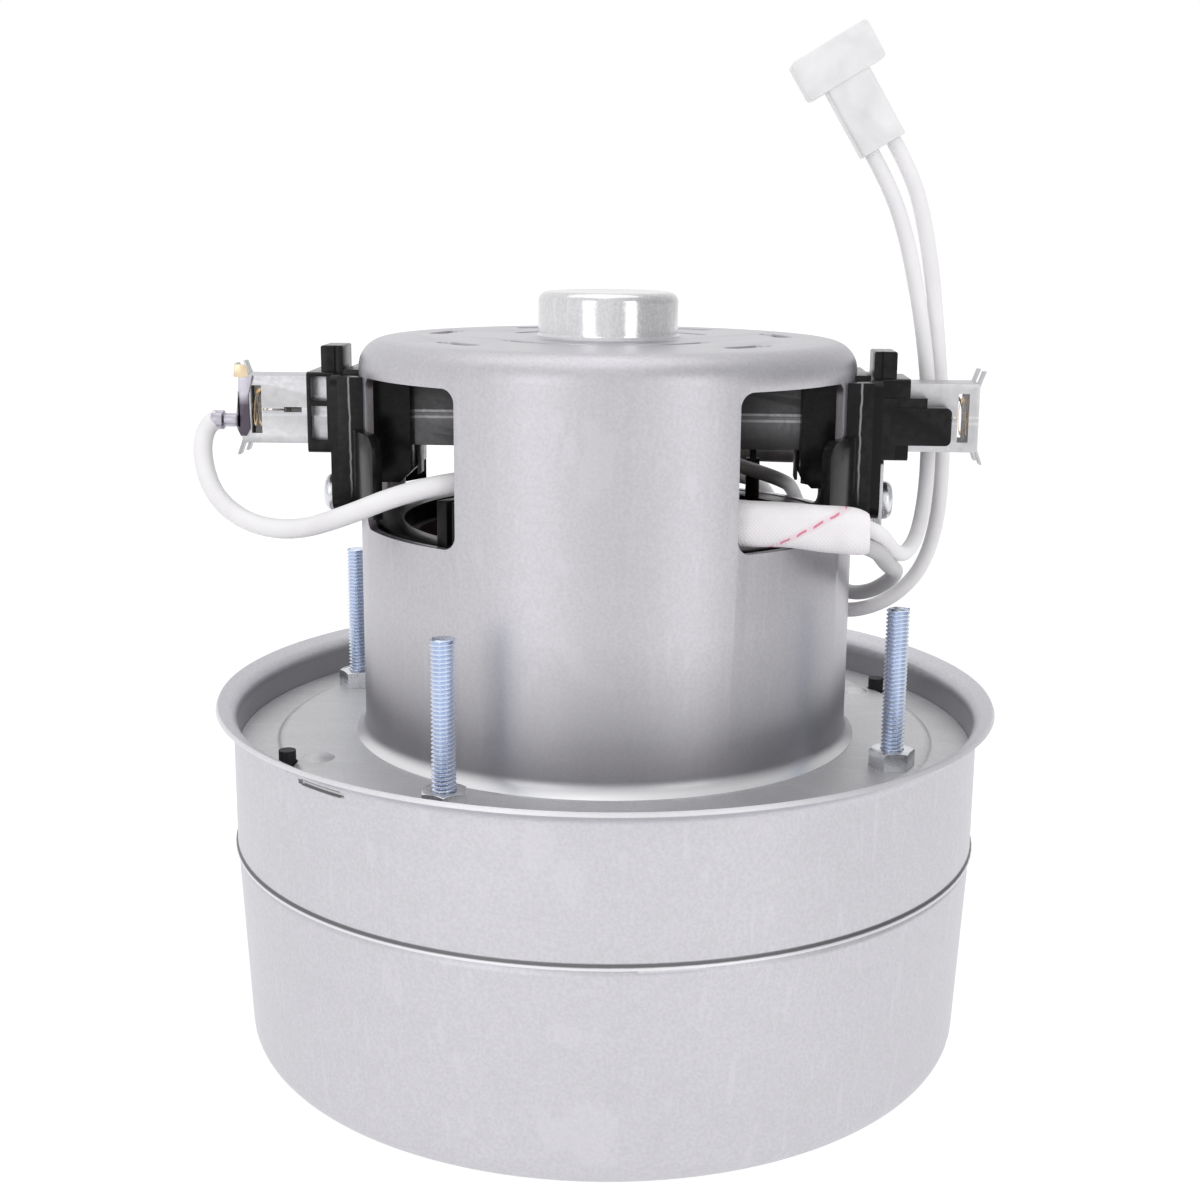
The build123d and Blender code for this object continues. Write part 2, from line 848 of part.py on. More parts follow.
def clamp_strip():
    height = collar_low - seat_gap - strip_low
    strip = rounded_plate(2 * strip_half_width, height, strip_corner, strip_sheet)
    strip = around(outer_plate_face + seat_gap + strip_sheet / 2, 90, strip_low + height / 2) * strip
    hole = rod(clamp_screw_radius + seat_gap, 0, collar_face)
    return strip - Pos(0, 0, clamp_screw_height) * Rot(0, 90, 0) * hole


def clamp_screws():
    """A pan-head screw with a crossed recess for each strip."""
    seat = outer_plate_face + seat_gap + strip_sheet
    shank = rod(clamp_screw_radius, seat - clamp_screw_length, seat)
    head = rod(screw_head_radius, seat, seat + screw_head_height)
    head = fillet(head.edges().sort_by(Axis.Z)[-1], screw_head_round)
    top = seat + screw_head_height
    for turn in (0, 90):
        bar = block((-screw_recess_length / 2, screw_recess_length / 2),
                    (-screw_recess_width / 2, screw_recess_width / 2),
                    (top - screw_recess_depth, top + cut_overrun))
        head -= Rot(0, 0, turn) * bar
    right = Pos(0, 0, clamp_screw_height) * Rot(0, 90, 0) * (shank + head)
    return Compound(children=list(mirrored_pair(right)))


# Stator
def stator_core():
    """One stack of sheets: a yoke with two flats and two poles round the armature."""
    side = 2 * stator_radius + cut_overrun
    yoke = Circle(stator_radius) & Rectangle(side, 2 * stator_flat)
    yoke -= Circle(yoke_inner_radius)
    reach = yoke_inner_radius + (stator_flat - yoke_inner_radius) / 2
    pole = Pos(0, -(reach + pole_bore_radius) / 2) * Rectangle(2 * pole_half_width, reach - pole_bore_radius)
    half = math.radians(pole_half_angle)
    tip_reach = pole_tip_radius / math.cos(half)
    corner = (tip_reach * math.sin(half), -tip_reach * math.cos(half))
    wedge = make_face(Polyline((0, 0), corner, (-corner[0], corner[1]), close=True))
    pole += Circle(pole_tip_radius) & wedge
    pole -= Circle(pole_bore_radius)
    profile = yoke + pole + Rot(0, 0, 180) * pole
    return extrude(Plane.XY.offset(stator_low) * profile, stator_high - stator_low)


def field_coil():
    """The front coil: a winding that passes round the front pole."""
    middle = (stator_low + stator_high) / 2
    inner_width = 2 * (pole_half_width + coil_clearance)
    inner_height = stator_high - stator_low + 2 * coil_clearance
    outer_height = inner_height + 2 * (coil_overhang - coil_clearance)
    coil = RectangleRounded(inner_width + 2 * coil_side, outer_height, coil_corner)
    coil -= Rectangle(inner_width, inner_height)
    return Pos(0, -coil_near, middle) * extrude(Plane.XZ * coil, coil_far - coil_near)


def upper_end_frame():
    """The insulating ring on the stator, with its terminal block and its wire guide."""
    frame = ring(frame_outer_radius, frame_inner_radius, stator_high, window_low)
    depth = frame_outer_radius - terminal_block_near
    block_middle = (frame_outer_radius + terminal_block_near) / 2
    tower = block((-terminal_block_width / 2, terminal_block_width / 2), (-depth / 2, depth / 2),
                  (stator_high, terminal_block_high))
    slot = block((-terminal_block_slot / 2, terminal_block_slot / 2), (-depth, 0),
                 (window_low, terminal_block_high + cut_overrun))
    tower -= slot
    for angle in (terminal_block_angle, 180 - terminal_block_angle):
        frame += around(block_middle, angle) * tower
    far = guide_post_near + guide_post_width
    back = guide_post_front + guide_post_width
    post = block((guide_post_near, far), (guide_post_front, back), (stator_high, guide_post_shoulder))
    post += block((guide_post_near, far), (guide_post_front, back + guide_post_width),
                  (stator_high, window_low)) & rod(frame_outer_radius, stator_high, window_low)
    post_middle = (guide_post_near + far) / 2
    neck_half = guide_post_neck_width / 2
    post += block((post_middle - neck_half, post_middle + neck_half), (guide_post_front, back),
                  (guide_post_shoulder, guide_post_high))
    return frame + post


def lower_end_frame():
    return ring(frame_outer_radius, frame_inner_radius, frame_foot_low, stator_low)


# Rotor
def shaft():
    top = top_bearing_low + bearing_width - seat_gap
    shoulder_low = bottom_bearing_low + bearing_width
    thread_high = first_fan_low + first_fan_height
    points = ((0, shaft_low), (shaft_thread_radius, shaft_low), (shaft_thread_radius, thread_high),
              (shaft_radius, thread_high), (shaft_radius, shoulder_low),
              (shaft_collar_radius, shoulder_low), (shaft_collar_radius, top_bearing_low),
              (shaft_radius, top_bearing_low), (shaft_radius, top), (0, top))
    return turned(points)


def armature_core():
    profile = Circle(armature_radius) - Circle(shaft_collar_radius + bore_clearance)
    slot = Pos(0, -armature_slot_circle) * Circle(armature_slot_radius)
    mouth_length = armature_radius - armature_slot_circle + cut_overrun
    mouth_middle = armature_slot_circle + mouth_length / 2
    slot += Pos(0, -mouth_middle) * Rectangle(armature_slot_mouth, mouth_length)
    for index in range(armature_slots):
        profile -= Rot(0, 0, index * 360 / armature_slots) * slot
    return extrude(Plane.XY.offset(stator_low) * profile, stator_high - stator_low)


def armature_winding():
    """The two heads of the winding, above and below the armature."""
    heads = []
    middle = (winding_inner_radius + winding_outer_radius) / 2
    width = winding_outer_radius - winding_inner_radius
    for low, high in ((winding_low, stator_low - winding_gap),
                      (stator_high + winding_gap, stator_high + winding_top_height)):
        section = RectangleRounded(width, high - low, winding_round)
        heads.append(revolve(Plane.XZ * Pos(middle, (low + high) / 2) * section, Axis.Z))
    return Compound(children=heads)


def commutator_bars():
    bars = ring(commutator_radius, commutator_bore, commutator_low, commutator_high)
    bars += ring(riser_radius, commutator_bore, commutator_low, commutator_low + riser_height)
    slit = block((-bar_slit_width / 2, bar_slit_width / 2),
                 (-riser_radius - cut_overrun, -commutator_radius + bar_slit_depth),
                 (commutator_low - cut_overrun, commutator_high + cut_overrun))
    for index in range(bar_count):
        bars -= Rot(0, 0, index * 360 / bar_count) * slit
    return bars


def commutator_hub():
    return ring(commutator_bore - bore_clearance, shaft_collar_radius + bore_clearance,
                commutator_low, commutator_high)


def bearing_groove(height):
    """The round channel in which the balls run."""
    section = Pos(ball_circle_radius, height) * Circle(ball_radius + raceway_clearance)
    return revolve(Plane.XZ * section, Axis.Z)


def bearing_inner_ring(low):
    body = ring(inner_ring_radius, bearing_bore_radius + bore_clearance, low, low + bearing_width)
    return body - bearing_groove(low + bearing_width / 2)


def bearing_outer_ring(low):
    body = rod(bearing_outer_radius, low, low + bearing_width)
    body = chamfer(body.edges().filter_by(GeomType.CIRCLE), bearing_chamfer)
    body -= rod(outer_ring_bore, low - cut_overrun, low + bearing_width + cut_overrun)
    return body - bearing_groove(low + bearing_width / 2)


def ball_cage(low):
    """The balls with the cage that spaces them."""
    height = low + bearing_width / 2
    cage = ring(ball_circle_radius + cage_half_width, ball_circle_radius - cage_half_width,
                height - cage_half_height, height + cage_half_height)
    for index in range(ball_count):
        ball = Rot(0, 0, -90) * Sphere(ball_radius)
        cage += around(ball_circle_radius, index * 360 / ball_count, height) * ball
    return cage


def wave_washer():
    low = top_bearing_low + bearing_width + seat_gap
    return ring(bearing_outer_radius - seat_gap, wave_washer_inner, low, low + wave_washer_height)


# Fans
def vane_face(inner, outer, sweep_angle, sheet):
    """The plan of one curved blade, from the eye to the edge."""
    middle = inner + (outer - inner) * fan_blade_mid_share

    def polar(radius, angle):
        turn = math.radians(angle)
        return (radius * math.sin(turn), -radius * math.cos(turn))

    line = ThreePointArc(polar(inner, 0), polar(middle, sweep_angle * fan_blade_bend_share),
                         polar(outer, sweep_angle))
    return trace(line, line_width=sheet)


def impeller(low, height, radius):
    """A closed fan: a conical front shroud, curved blades and a flat back disc."""
    high = low + height
    back = ring(radius, shaft_radius + bore_clearance, high - fan_sheet, high)
    cone_low = low + fan_edge_rise
    shroud_outline = ((fan_eye_radius, low), (fan_blade_inner, low), (radius, cone_low),
                      (radius, cone_low + fan_sheet), (fan_blade_inner, low + fan_sheet),
                      (fan_eye_radius, low + fan_sheet))
    front = turned(shroud_outline)
    under = turned(((0, low - cut_overrun), (radius + cut_overrun, low - cut_overrun),
                    (radius + cut_overrun, cone_low + fan_sheet / 2),
                    (radius, cone_low + fan_sheet / 2),
                    (fan_blade_inner, low + fan_sheet / 2), (0, low + fan_sheet / 2)))
    blade_plan = vane_face(fan_blade_inner, radius - fan_blade_inset, fan_blade_sweep, fan_blade_sheet)
    blade = extrude(Plane.XY.offset(low) * blade_plan, height - fan_sheet / 2)
    blade -= under
    fan = back + front
    for index in range(fan_blade_count):
        fan += Rot(0, 0, index * 360 / fan_blade_count) * blade
    return fan


def impeller_washers():
    pieces = []
    for low, height in ((first_fan_low, first_fan_height), (second_fan_low, second_fan_height)):
        high = low + height
        under = high - fan_sheet - washer_height
        pieces.append(ring(washer_radius, shaft_radius + bore_clearance, under, high - fan_sheet))
        pieces.append(ring(washer_radius, shaft_radius + bore_clearance, high, high + washer_height))
    return Compound(children=pieces)


def impeller_spacers():
    bore = shaft_radius + bore_clearance
    first_low = first_fan_low + first_fan_height + washer_height
    first_high = second_fan_low + second_fan_height - fan_sheet - washer_height
    second_low = second_fan_low + second_fan_height + washer_height
    return Compound(children=[ring(spacer_radius, bore, first_low, first_high),
                              ring(inner_ring_radius, bore, second_low, bottom_bearing_low)])


def shaft_nut():
    high = first_fan_low + first_fan_height - fan_sheet - washer_height
    return hexagon(shaft_nut_across_flats, high - shaft_nut_height, high,
                   shaft_thread_radius + bore_clearance)


def stage_divider():
    """A guide disc below, return vanes, and an upper disc that reaches the wall of the cover."""
    lower = ring(guide_disc_radius, divider_bore, divider_low, divider_low + guide_sheet)
    wall_radius = cover_radius_at(divider_high) - cover_sheet - divider_wall_gap
    upper = ring(wall_radius, fan_eye_radius, divider_high - guide_sheet, divider_high)
    vane = extrude(Plane.XY.offset(divider_low + guide_sheet / 2)
                   * vane_face(guide_vane_inner, guide_disc_radius - guide_vane_inset,
                               guide_vane_sweep, guide_vane_sheet),
                   divider_high - divider_low - guide_sheet)
    divider = lower + upper
    for index in range(guide_vane_count):
        divider += Rot(0, 0, index * 360 / guide_vane_count) * vane
    return divider


def cover_radius_at(height):
    """The outer radius of the cover's tapered wall at a height."""
    share = height / (seam_height - cover_joggle_drop)
    return cover_floor_radius + (cover_top_radius - cover_floor_radius) * share


def diffuser():
    """The black guide under the plate: a disc with return vanes and two locating pegs."""
    high = plate_top - plate_step_drop - plate_sheet - seat_gap
    disc_radius = cover_neck_radius - diffuser_disc_gap
    disc = ring(disc_radius, diffuser_bore, diffuser_low, diffuser_low + diffuser_disc)
    vane = extrude(Plane.XY.offset(diffuser_low + diffuser_disc / 2)
                   * vane_face(diffuser_vane_inner, cover_neck_radius - diffuser_vane_gap,
                               diffuser_vane_sweep, diffuser_vane_sheet),
                   high - diffuser_low - diffuser_disc / 2)
    for index in range(diffuser_vane_count):
        disc += Rot(0, 0, index * 360 / diffuser_vane_count) * vane
    peg_boss = rod(peg_radius + diffuser_vane_sheet, diffuser_low, high)
    peg = rod(peg_radius, high - cut_overrun, plate_top - plate_step_drop + diffuser_peg_height)
    for angle in peg_angles:
        disc += around(peg_circle_radius, angle) * (peg_boss + peg)
    head_low = plate_top - plate_sheet - stud_head_height - diffuser_head_gap
    for index in range(stud_count):
        pocket = rod(stud_head_radius + diffuser_head_gap, head_low, high + cut_overrun)
        disc -= around(stud_circle_radius, stud_angle + index * 360 / stud_count) * pocket
    return disc


# Protector, terminal and plug
def protector_sleeve():
    low = window_low + sleeve_lift
    outer = RectangleRounded(sleeve_depth, sleeve_height, sleeve_depth / 2 - seat_gap)
    inner_depth = sleeve_depth - 2 * sleeve_wall
    inner = RectangleRounded(inner_depth, sleeve_height - 2 * sleeve_wall, inner_depth / 2 - seat_gap)
    tube = extrude(Plane.YZ * (outer - inner), sleeve_far - sleeve_near)
    return Pos(sleeve_near, sleeve_centre_y, low + sleeve_height / 2) * tube


def thermal_protector():
    low = window_low + sleeve_lift
    face = RectangleRounded(protector_depth, protector_height, protector_round)
    can = extrude(Plane.YZ * face, protector_far - protector_near)
    return Pos(protector_near, sleeve_centre_y, low + sleeve_height / 2) * can


def brush_terminal():
    """A tab on the outer end of the left tube, with an ear above and a crimped barrel for the jumper."""
    face = -tube_outer_end - seat_gap
    plate = block((face - terminal_sheet, face), (-terminal_half_width, terminal_half_width),
                  (brush_line - terminal_half_height, brush_line + terminal_half_height))
    top = brush_line + tube_height / 2
    ear_piece = block((face - terminal_sheet, face), (-terminal_ear_half_width, terminal_ear_half_width),
                      (brush_line, top + terminal_ear_rise))
    end = Vector(*jumper_route[0])
    first_run = (Vector(*jumper_route[1]) - end).normalized()
    back = end - first_run * barrel_length
    barrel = extrude(Plane(origin=back, z_dir=first_run) * Circle(barrel_radius), barrel_length)
    return plate + ear_piece + barrel


def plug_frame():
    """The plug's own frame: its origin where the leads enter, its Z along the plug."""
    outer_end = Vector(*supply_outer_route[0])
    inner_end = Vector(*supply_inner_route[-1])
    middle = (outer_end + inner_end) * 0.5
    return Pos(*middle) * Rot(0, -plug_lean, 0) * Pos(0, 0, seat_gap)


def plug_housing():
    half_width = plug_width / 2
    half_depth = plug_depth / 2
    length = plug_body_length + plug_head_length
    body = block((-half_width, half_width), (-half_depth, half_depth), (0, length))
    body = fillet(body.edges().filter_by(Axis.Z), plug_corner)
    head = block((-plug_head_width / 2, plug_head_width / 2), (-plug_head_depth / 2, plug_head_depth / 2),
                 (plug_body_length, length))
    head = fillet(head.edges().filter_by(Axis.Y), plug_corner)
    plug = body + head
    for side in (-1, 1):
        cavity = block((-plug_cavity_width / 2, plug_cavity_width / 2),
                       (-plug_cavity_depth / 2, plug_cavity_depth / 2),
                       (contact_back, length + cut_overrun))
        plug -= Pos(side * plug_wire_half_pitch, 0, 0) * cavity
    return plug_frame() * plug


def plug_contacts():
    low = contact_back
    half = contact_width / 2
    contacts = []
    for side in (-1, 1):
        pin = block((-half, half), (-half, half), (low, low + contact_length))
        contacts.append(plug_frame() * Pos(side * plug_wire_half_pitch, 0, 0) * pin)
    return Compound(children=contacts)


# Places that follow from the sizes above
window_angles = (-window_angle, window_angle, 180 - window_angle, window_angle - 180)
cover_neck_radius = band_radius - band_sheet - seat_gap
plate_low_edge = plate_top - plate_step_drop - plate_sheet
plate_step_radius = band_radius - plate_step_inset
peg_circle_radius = band_radius - peg_circle_inset
dimple_circle_radius = band_radius - dimple_circle_inset
first_fan_radius = cover_radius_at(first_fan_low) - cover_sheet - fan_wall_gap
guide_disc_radius = cover_radius_at(divider_low) - cover_sheet - guide_wall_gap
brush_tail = commutator_radius + brush_length
spring_near = brush_tail + spring_wire_radius + spring_seat_gap
spring_far = tube_outer_end - tube_sheet - spring_wire_radius - spring_seat_gap

right_holder, left_holder = mirrored_pair(brush_holder())
right_tube, left_tube = mirrored_pair(brush_tube())
right_brush, left_brush = mirrored_pair(brush())
right_spring, left_spring = mirrored_pair(spring())
right_strip, left_strip = mirrored_pair(clamp_strip())
front_coil, rear_coil = mirrored_pair(field_coil())

parts = {
    "fan_cover": fan_cover(),
    "housing_band": housing_band(),
    "motor_bracket": motor_bracket(),
    "motor_can": motor_can(),
    "mounting_studs": mounting_studs(),
    "stud_nuts": stud_nuts(),
    "right_brush_holder": right_holder,
    "left_brush_holder": left_holder,
    "right_brush_tube": right_tube,
    "left_brush_tube": left_tube,
    "right_brush": right_brush,
    "left_brush": left_brush,
    "right_brush_spring": right_spring,
    "left_brush_spring": left_spring,
    "right_clamp_strip": right_strip,
    "left_clamp_strip": left_strip,
    "clamp_screws": clamp_screws(),
    "stator_core": stator_core(),
    "front_field_coil": front_coil,
    "rear_field_coil": rear_coil,
    "upper_end_frame": upper_end_frame(),
    "lower_end_frame": lower_end_frame(),
    "shaft": shaft(),
    "armature_core": armature_core(),
    "armature_winding": armature_winding(),
    "commutator_bars": commutator_bars(),
    "commutator_hub": commutator_hub(),
    "top_bearing_inner_ring": bearing_inner_ring(top_bearing_low),
    "top_bearing_outer_ring": bearing_outer_ring(top_bearing_low),
    "top_ball_cage": ball_cage(top_bearing_low),
    "bottom_bearing_inner_ring": bearing_inner_ring(bottom_bearing_low),
    "bottom_bearing_outer_ring": bearing_outer_ring(bottom_bearing_low),
    "bottom_ball_cage": ball_cage(bottom_bearing_low),
    "bearing_wave_washer": wave_washer(),
    "first_impeller": impeller(first_fan_low, first_fan_height, first_fan_radius),
    "second_impeller": impeller(second_fan_low, second_fan_height, second_fan_radius),
    "impeller_washers": impeller_washers(),
    "impeller_spacers": impeller_spacers(),
    "shaft_nut": shaft_nut(),
    "stage_divider": stage_divider(),
    "diffuser": diffuser(),
    "protector_sleeve": protector_sleeve(),
    "thermal_protector": thermal_protector(),
    "brush_terminal": brush_terminal(),
    "jumper_lead": lead("jumper_lead", jumper_route, jumper_diameter),
    "inner_jumper": lead("inner_jumper", inner_jumper_route, inner_jumper_diameter),
    "protector_lead": lead("protector_lead", protector_route, lead_diameter),
    "supply_lead_outer": lead("supply_lead_outer", supply_outer_route, lead_diameter),
    "supply_lead_inner": lead("supply_lead_inner", supply_inner_route, lead_diameter),
    "plug_housing": plug_housing(),
    "plug_contacts": plug_contacts(),
}

os.makedirs("parts", exist_ok=True)
for name, piece in parts.items():
    export_step(piece, f"parts/{name}.step")
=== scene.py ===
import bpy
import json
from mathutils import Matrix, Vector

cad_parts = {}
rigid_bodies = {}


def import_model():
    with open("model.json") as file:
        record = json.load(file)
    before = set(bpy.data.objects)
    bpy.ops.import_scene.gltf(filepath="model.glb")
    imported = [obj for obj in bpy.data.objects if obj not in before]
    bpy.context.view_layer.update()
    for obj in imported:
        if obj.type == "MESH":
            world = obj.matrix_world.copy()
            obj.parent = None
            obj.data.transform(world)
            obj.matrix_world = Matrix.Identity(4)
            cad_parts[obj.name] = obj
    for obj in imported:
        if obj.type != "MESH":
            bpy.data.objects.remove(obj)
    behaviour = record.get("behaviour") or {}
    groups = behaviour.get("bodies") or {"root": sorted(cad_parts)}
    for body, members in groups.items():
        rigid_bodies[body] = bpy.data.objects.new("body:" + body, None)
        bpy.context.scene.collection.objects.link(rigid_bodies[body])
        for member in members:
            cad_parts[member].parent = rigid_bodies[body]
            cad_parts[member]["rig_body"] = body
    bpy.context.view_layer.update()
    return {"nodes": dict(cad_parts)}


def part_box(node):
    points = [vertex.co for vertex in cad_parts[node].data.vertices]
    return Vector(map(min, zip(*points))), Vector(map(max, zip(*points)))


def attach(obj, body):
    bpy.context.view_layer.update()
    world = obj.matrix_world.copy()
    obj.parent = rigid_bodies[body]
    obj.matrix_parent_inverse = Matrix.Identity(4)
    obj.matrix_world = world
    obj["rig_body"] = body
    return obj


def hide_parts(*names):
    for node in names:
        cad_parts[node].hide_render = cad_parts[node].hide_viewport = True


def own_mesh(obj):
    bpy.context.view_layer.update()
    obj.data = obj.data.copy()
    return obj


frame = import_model()

import json
import math
from collections import namedtuple

import bmesh
import bpy
from mathutils import Matrix, Vector

bl_info = {
    "name": "Vacuum motor unit",
    "version": (1, 0, 0),
    "blender": (4, 5, 0),
    "location": "3D View > Sidebar > Motor unit",
    "description": "Finishes, leads, threads and woven sleeve of a vacuum motor unit, round its packed parts",
    "category": "Object",
}

# Places along the leads, in metres, from where each lead is first held to where it ends
JUMPER_ROUTE = (
    (-0.0703, -0.0043, 0.1143), (-0.0722, -0.0047, 0.1138), (-0.0728, -0.0076, 0.1086),
    (-0.0694, -0.0124, 0.1014), (-0.0618, -0.0174, 0.0974), (-0.0524, -0.0224, 0.0973),
    (-0.0428, -0.0282, 0.1010), (-0.0342, -0.0330, 0.1050), (-0.0264, -0.0340, 0.1074),
    (-0.0186, -0.0314, 0.1082), (-0.0116, -0.0264, 0.1064), (-0.0110, -0.0256, 0.1005),
)
PROTECTOR_ROUTE = (
    (0.0354, -0.0325, 0.1000), (0.0452, -0.0324, 0.0984), (0.0484, -0.0258, 0.0938),
    (0.0506, -0.0156, 0.0914), (0.0526, -0.0054, 0.0886), (0.0522, 0.0036, 0.0849),
    (0.0494, 0.0106, 0.0814), (0.0458, 0.0176, 0.0798), (0.0418, 0.0246, 0.0820),
    (0.0386, 0.0296, 0.0894), (0.0360, 0.0310, 0.0984), (0.0326, 0.0224, 0.1012),
    (0.0266, 0.0186, 0.1036), (0.0200, 0.0202, 0.1054), (0.0149, 0.0248, 0.1049),
    (0.0145, 0.0255, 0.1005),
)
SUPPLY_OUTER_ROUTE = (
    (0.0096, 0.0288, 0.0986), (0.0102, 0.0342, 0.0993), (0.0168, 0.0332, 0.1004),
    (0.0242, 0.0318, 0.1008), (0.0310, 0.0362, 0.0980), (0.0342, 0.0352, 0.0876),
    (0.0380, 0.0298, 0.0796), (0.0422, 0.0222, 0.0762), (0.0458, 0.0156, 0.0766),
    (0.0502, 0.0128, 0.0780), (0.0552, 0.0122, 0.0808), (0.0598, 0.0122, 0.0862),
    (0.0622, 0.0124, 0.0952), (0.0626, 0.0126, 0.1066), (0.0617, 0.0126, 0.1184),
    (0.0603, 0.0122, 0.1306), (0.0586, 0.0112, 0.1418), (0.0566, 0.0102, 0.1508),
    (0.0542, 0.0097, 0.15836), (0.05049, 0.0097, 0.16453),
)
SUPPLY_INNER_ROUTE = (
    (0.0354, -0.0325, 0.1030), (0.0452, -0.0322, 0.1014), (0.0488, -0.0262, 0.0968),
    (0.0510, -0.0160, 0.0940), (0.0540, -0.0066, 0.0922), (0.0570, 0.0016, 0.0940),
    (0.0589, 0.0070, 0.1010), (0.0592, 0.0086, 0.1100), (0.0588, 0.0090, 0.1196),
    (0.0575, 0.0092, 0.1296), (0.0555, 0.0095, 0.1398), (0.0531, 0.0097, 0.1492),
    (0.05001, 0.0097, 0.15678), (0.04671, 0.0097, 0.16227),
)
INNER_JUMPER_ROUTE = (
    (0.0025, 0.0256, 0.1005), (0.0026, 0.0262, 0.1050), (0.0088, 0.0328, 0.1062),
    (0.0184, 0.0356, 0.1048), (0.0282, 0.0302, 0.1050), (0.0352, 0.0214, 0.1060),
    (0.0374, 0.0146, 0.1072), (0.0376, 0.0097, 0.1074),
)

# The free leads: node, route, diameter, finish and far end
LEADS = (
    ("jumper_lead", JUMPER_ROUTE, 0.0034, "lead_white", "object"),
    ("protector_lead", PROTECTOR_ROUTE, 0.0028, "lead_shaded", "object"),
    ("supply_lead_outer", SUPPLY_OUTER_ROUTE, 0.0028, "lead_white", "plug"),
    ("supply_lead_inner", SUPPLY_INNER_ROUTE, 0.0028, "lead_white", "plug"),
)
INNER_JUMPER_DIAMETER = 0.0030

# Outlines of the brush terminal's sheet, in X and Z
TERMINAL_FLAG = (
    (-0.0662, 0.1224), (-0.0637, 0.1225), (-0.0641, 0.1204), (-0.0646, 0.1186), (-0.0644, 0.1128),
    (-0.0652, 0.1114), (-0.0662, 0.1116), (-0.0668, 0.1128), (-0.0668, 0.1156), (-0.0664, 0.1190),
)
TERMINAL_PLATE = (
    (-0.06655, 0.11125), (-0.06605, 0.11125), (-0.06605, 0.12125), (-0.06655, 0.12125),
)
TERMINAL_BEND = ((-0.06655, 0.1130), (-0.06605, 0.1130), (-0.06605, 0.1195), (-0.06655, 0.1195))
TERMINAL_EAR = (
    (-0.0671, 0.1221), (-0.0656, 0.1219), (-0.0644, 0.1222),
    (-0.0645, 0.1238), (-0.0652, 0.1243), (-0.0669, 0.1243),
)

# The terminal in Y: its flag's two faces and its plate's half width. Its two crimps: ends in X, and radius
TERMINAL_NEAR = -0.00470
TERMINAL_FAR = -0.00430
TERMINAL_REACH = 0.0034
CRIMPS = ((-0.0664, -0.0690, 0.00135), (-0.0692, -0.0712, 0.00190))

# Heights over which the painted shade on the terminal's flag fades out, and the places in X over which it
# sets in
FLAG_SHADE_TOP = (0.1170, 0.1190)
FLAG_SHADE_SIDE = (-0.0669, -0.0664)

# Where the camera stands and looks
CAMERA_PLACE = (0.013766, -0.30899, 0.1487)
CAMERA_TURN = math.radians(2.75)
CAMERA_DROP = 0.2147
CAMERA_ROLL = 0.008
CAMERA_LENS = 51.18
SENSOR_WIDTH = 36.0

# The floor's radius, how far it lies below the part, and how bright it looks by itself
FLOOR_RADIUS = 4.0
FLOOR_DROP = 0.0002
FLOOR_GLOW = 1.20
FLOOR_GLOW_SHARE = 0.72

# What the softboxes face
SOFTBOX_AIM = (0.0, 0.0, 0.08)

# Heights of the painted shade in the fold and of the painted highlight on the lip at the housing's seam
SEAM_FOLD_SHADE = 0.03935
SEAM_LIP_HIGHLIGHT = 0.0388

# The band's two slits: their turn about the shaft, the cosine of half their angle, and their middle height
SLIT_TURN = math.radians(-38.8)
SLIT_END = math.cos(math.radians(3.9))
SLIT_HEIGHT = 0.0614

# How far out the painted highlight on the flared rim's edge is
RIM_HIGHLIGHT_EDGE = 0.07125

# Heights over which the painted shade on the can's lower part, and the polish and painted highlight on its
# foot, fade out
CAN_LOWER_SHADE = (0.0660, 0.0840)
CAN_FOOT = (0.0586, 0.0602)

# The can's top boss is polished above this height and within this radius
BOSS_FLOOR = 0.1300
BOSS_RADIUS = 0.0133

# The studs: radius, radius of their circle, turn of the first in degrees, and the size of their heads
STUD_RADIUS = 0.0020
STUD_CIRCLE = 0.056
STUD_TURN = -24.6
STUD_HEAD_RADIUS = 0.0031
STUD_HEAD_HEIGHT = 0.0020

# The sloping edge at a stud's upper end
CHAMFER_WIDTH = 0.00035
CHAMFER_DROP = 0.00028

# The brush tubes' middle height, how far from it the two ribs are, and where the painted shade inside the can
# fades out in X
TUBE_MIDDLE = 0.11585
TUBE_RIB = 0.00055
TUBE_INSIDE_SHADE = (0.0385, 0.0450)

# The clamp strips' inner face and sheet, and how much thicker they are shown
STRIP_INNER_FACE = 0.04825
STRIP_SHEET = 0.00075
STRIP_GROWTH = 1.9

# The clamp screws' height and shank, and how much wider and higher their heads are shown
SCREW_HEIGHT = 0.1008
SCREW_SHANK = 0.0016
HEAD_GROWTH = 1.2
HEAD_RISE = 1.15

# The brush springs' radius, wire radius and turns
SPRING_RADIUS = 0.00295
SPRING_WIRE = 0.00035
SPRING_TURNS = 7

# The holders' parting line, along which a highlight is painted: its distance from the middle plane, and where
# it starts in Y and in height
PARTING_LINE = 0.0441
PARTING_SIDE = (0.0152, 0.0154)
PARTING_FOOT = (0.1020, 0.1060)

# The sleeve's wall, and how square its section is, where 2 is an oval
SLEEVE_WALL = 0.0005
SLEEVE_SQUARE = 2.6

# Depths of the sleeve's folds and dents, and how far its right end closes and droops
SLEEVE_FOLD = 0.00022
SLEEVE_DENT = 0.00014
SLEEVE_CLOSING = 0.0006
SLEEVE_DROOP = 0.0013

# The sleeve's tracer: rise for each metre along X, where it starts, its return, and dashes in a metre
TRACER_CLIMB = 0.549
TRACER_START = 0.0827
TRACER_RETURN = 0.012
TRACER_DASHES = 380.0

# Thickness of one sheet in the stator and armature
LAMINATION = 0.0005


# Finished materials by the names that the pieces ask for
FINISHES = {}


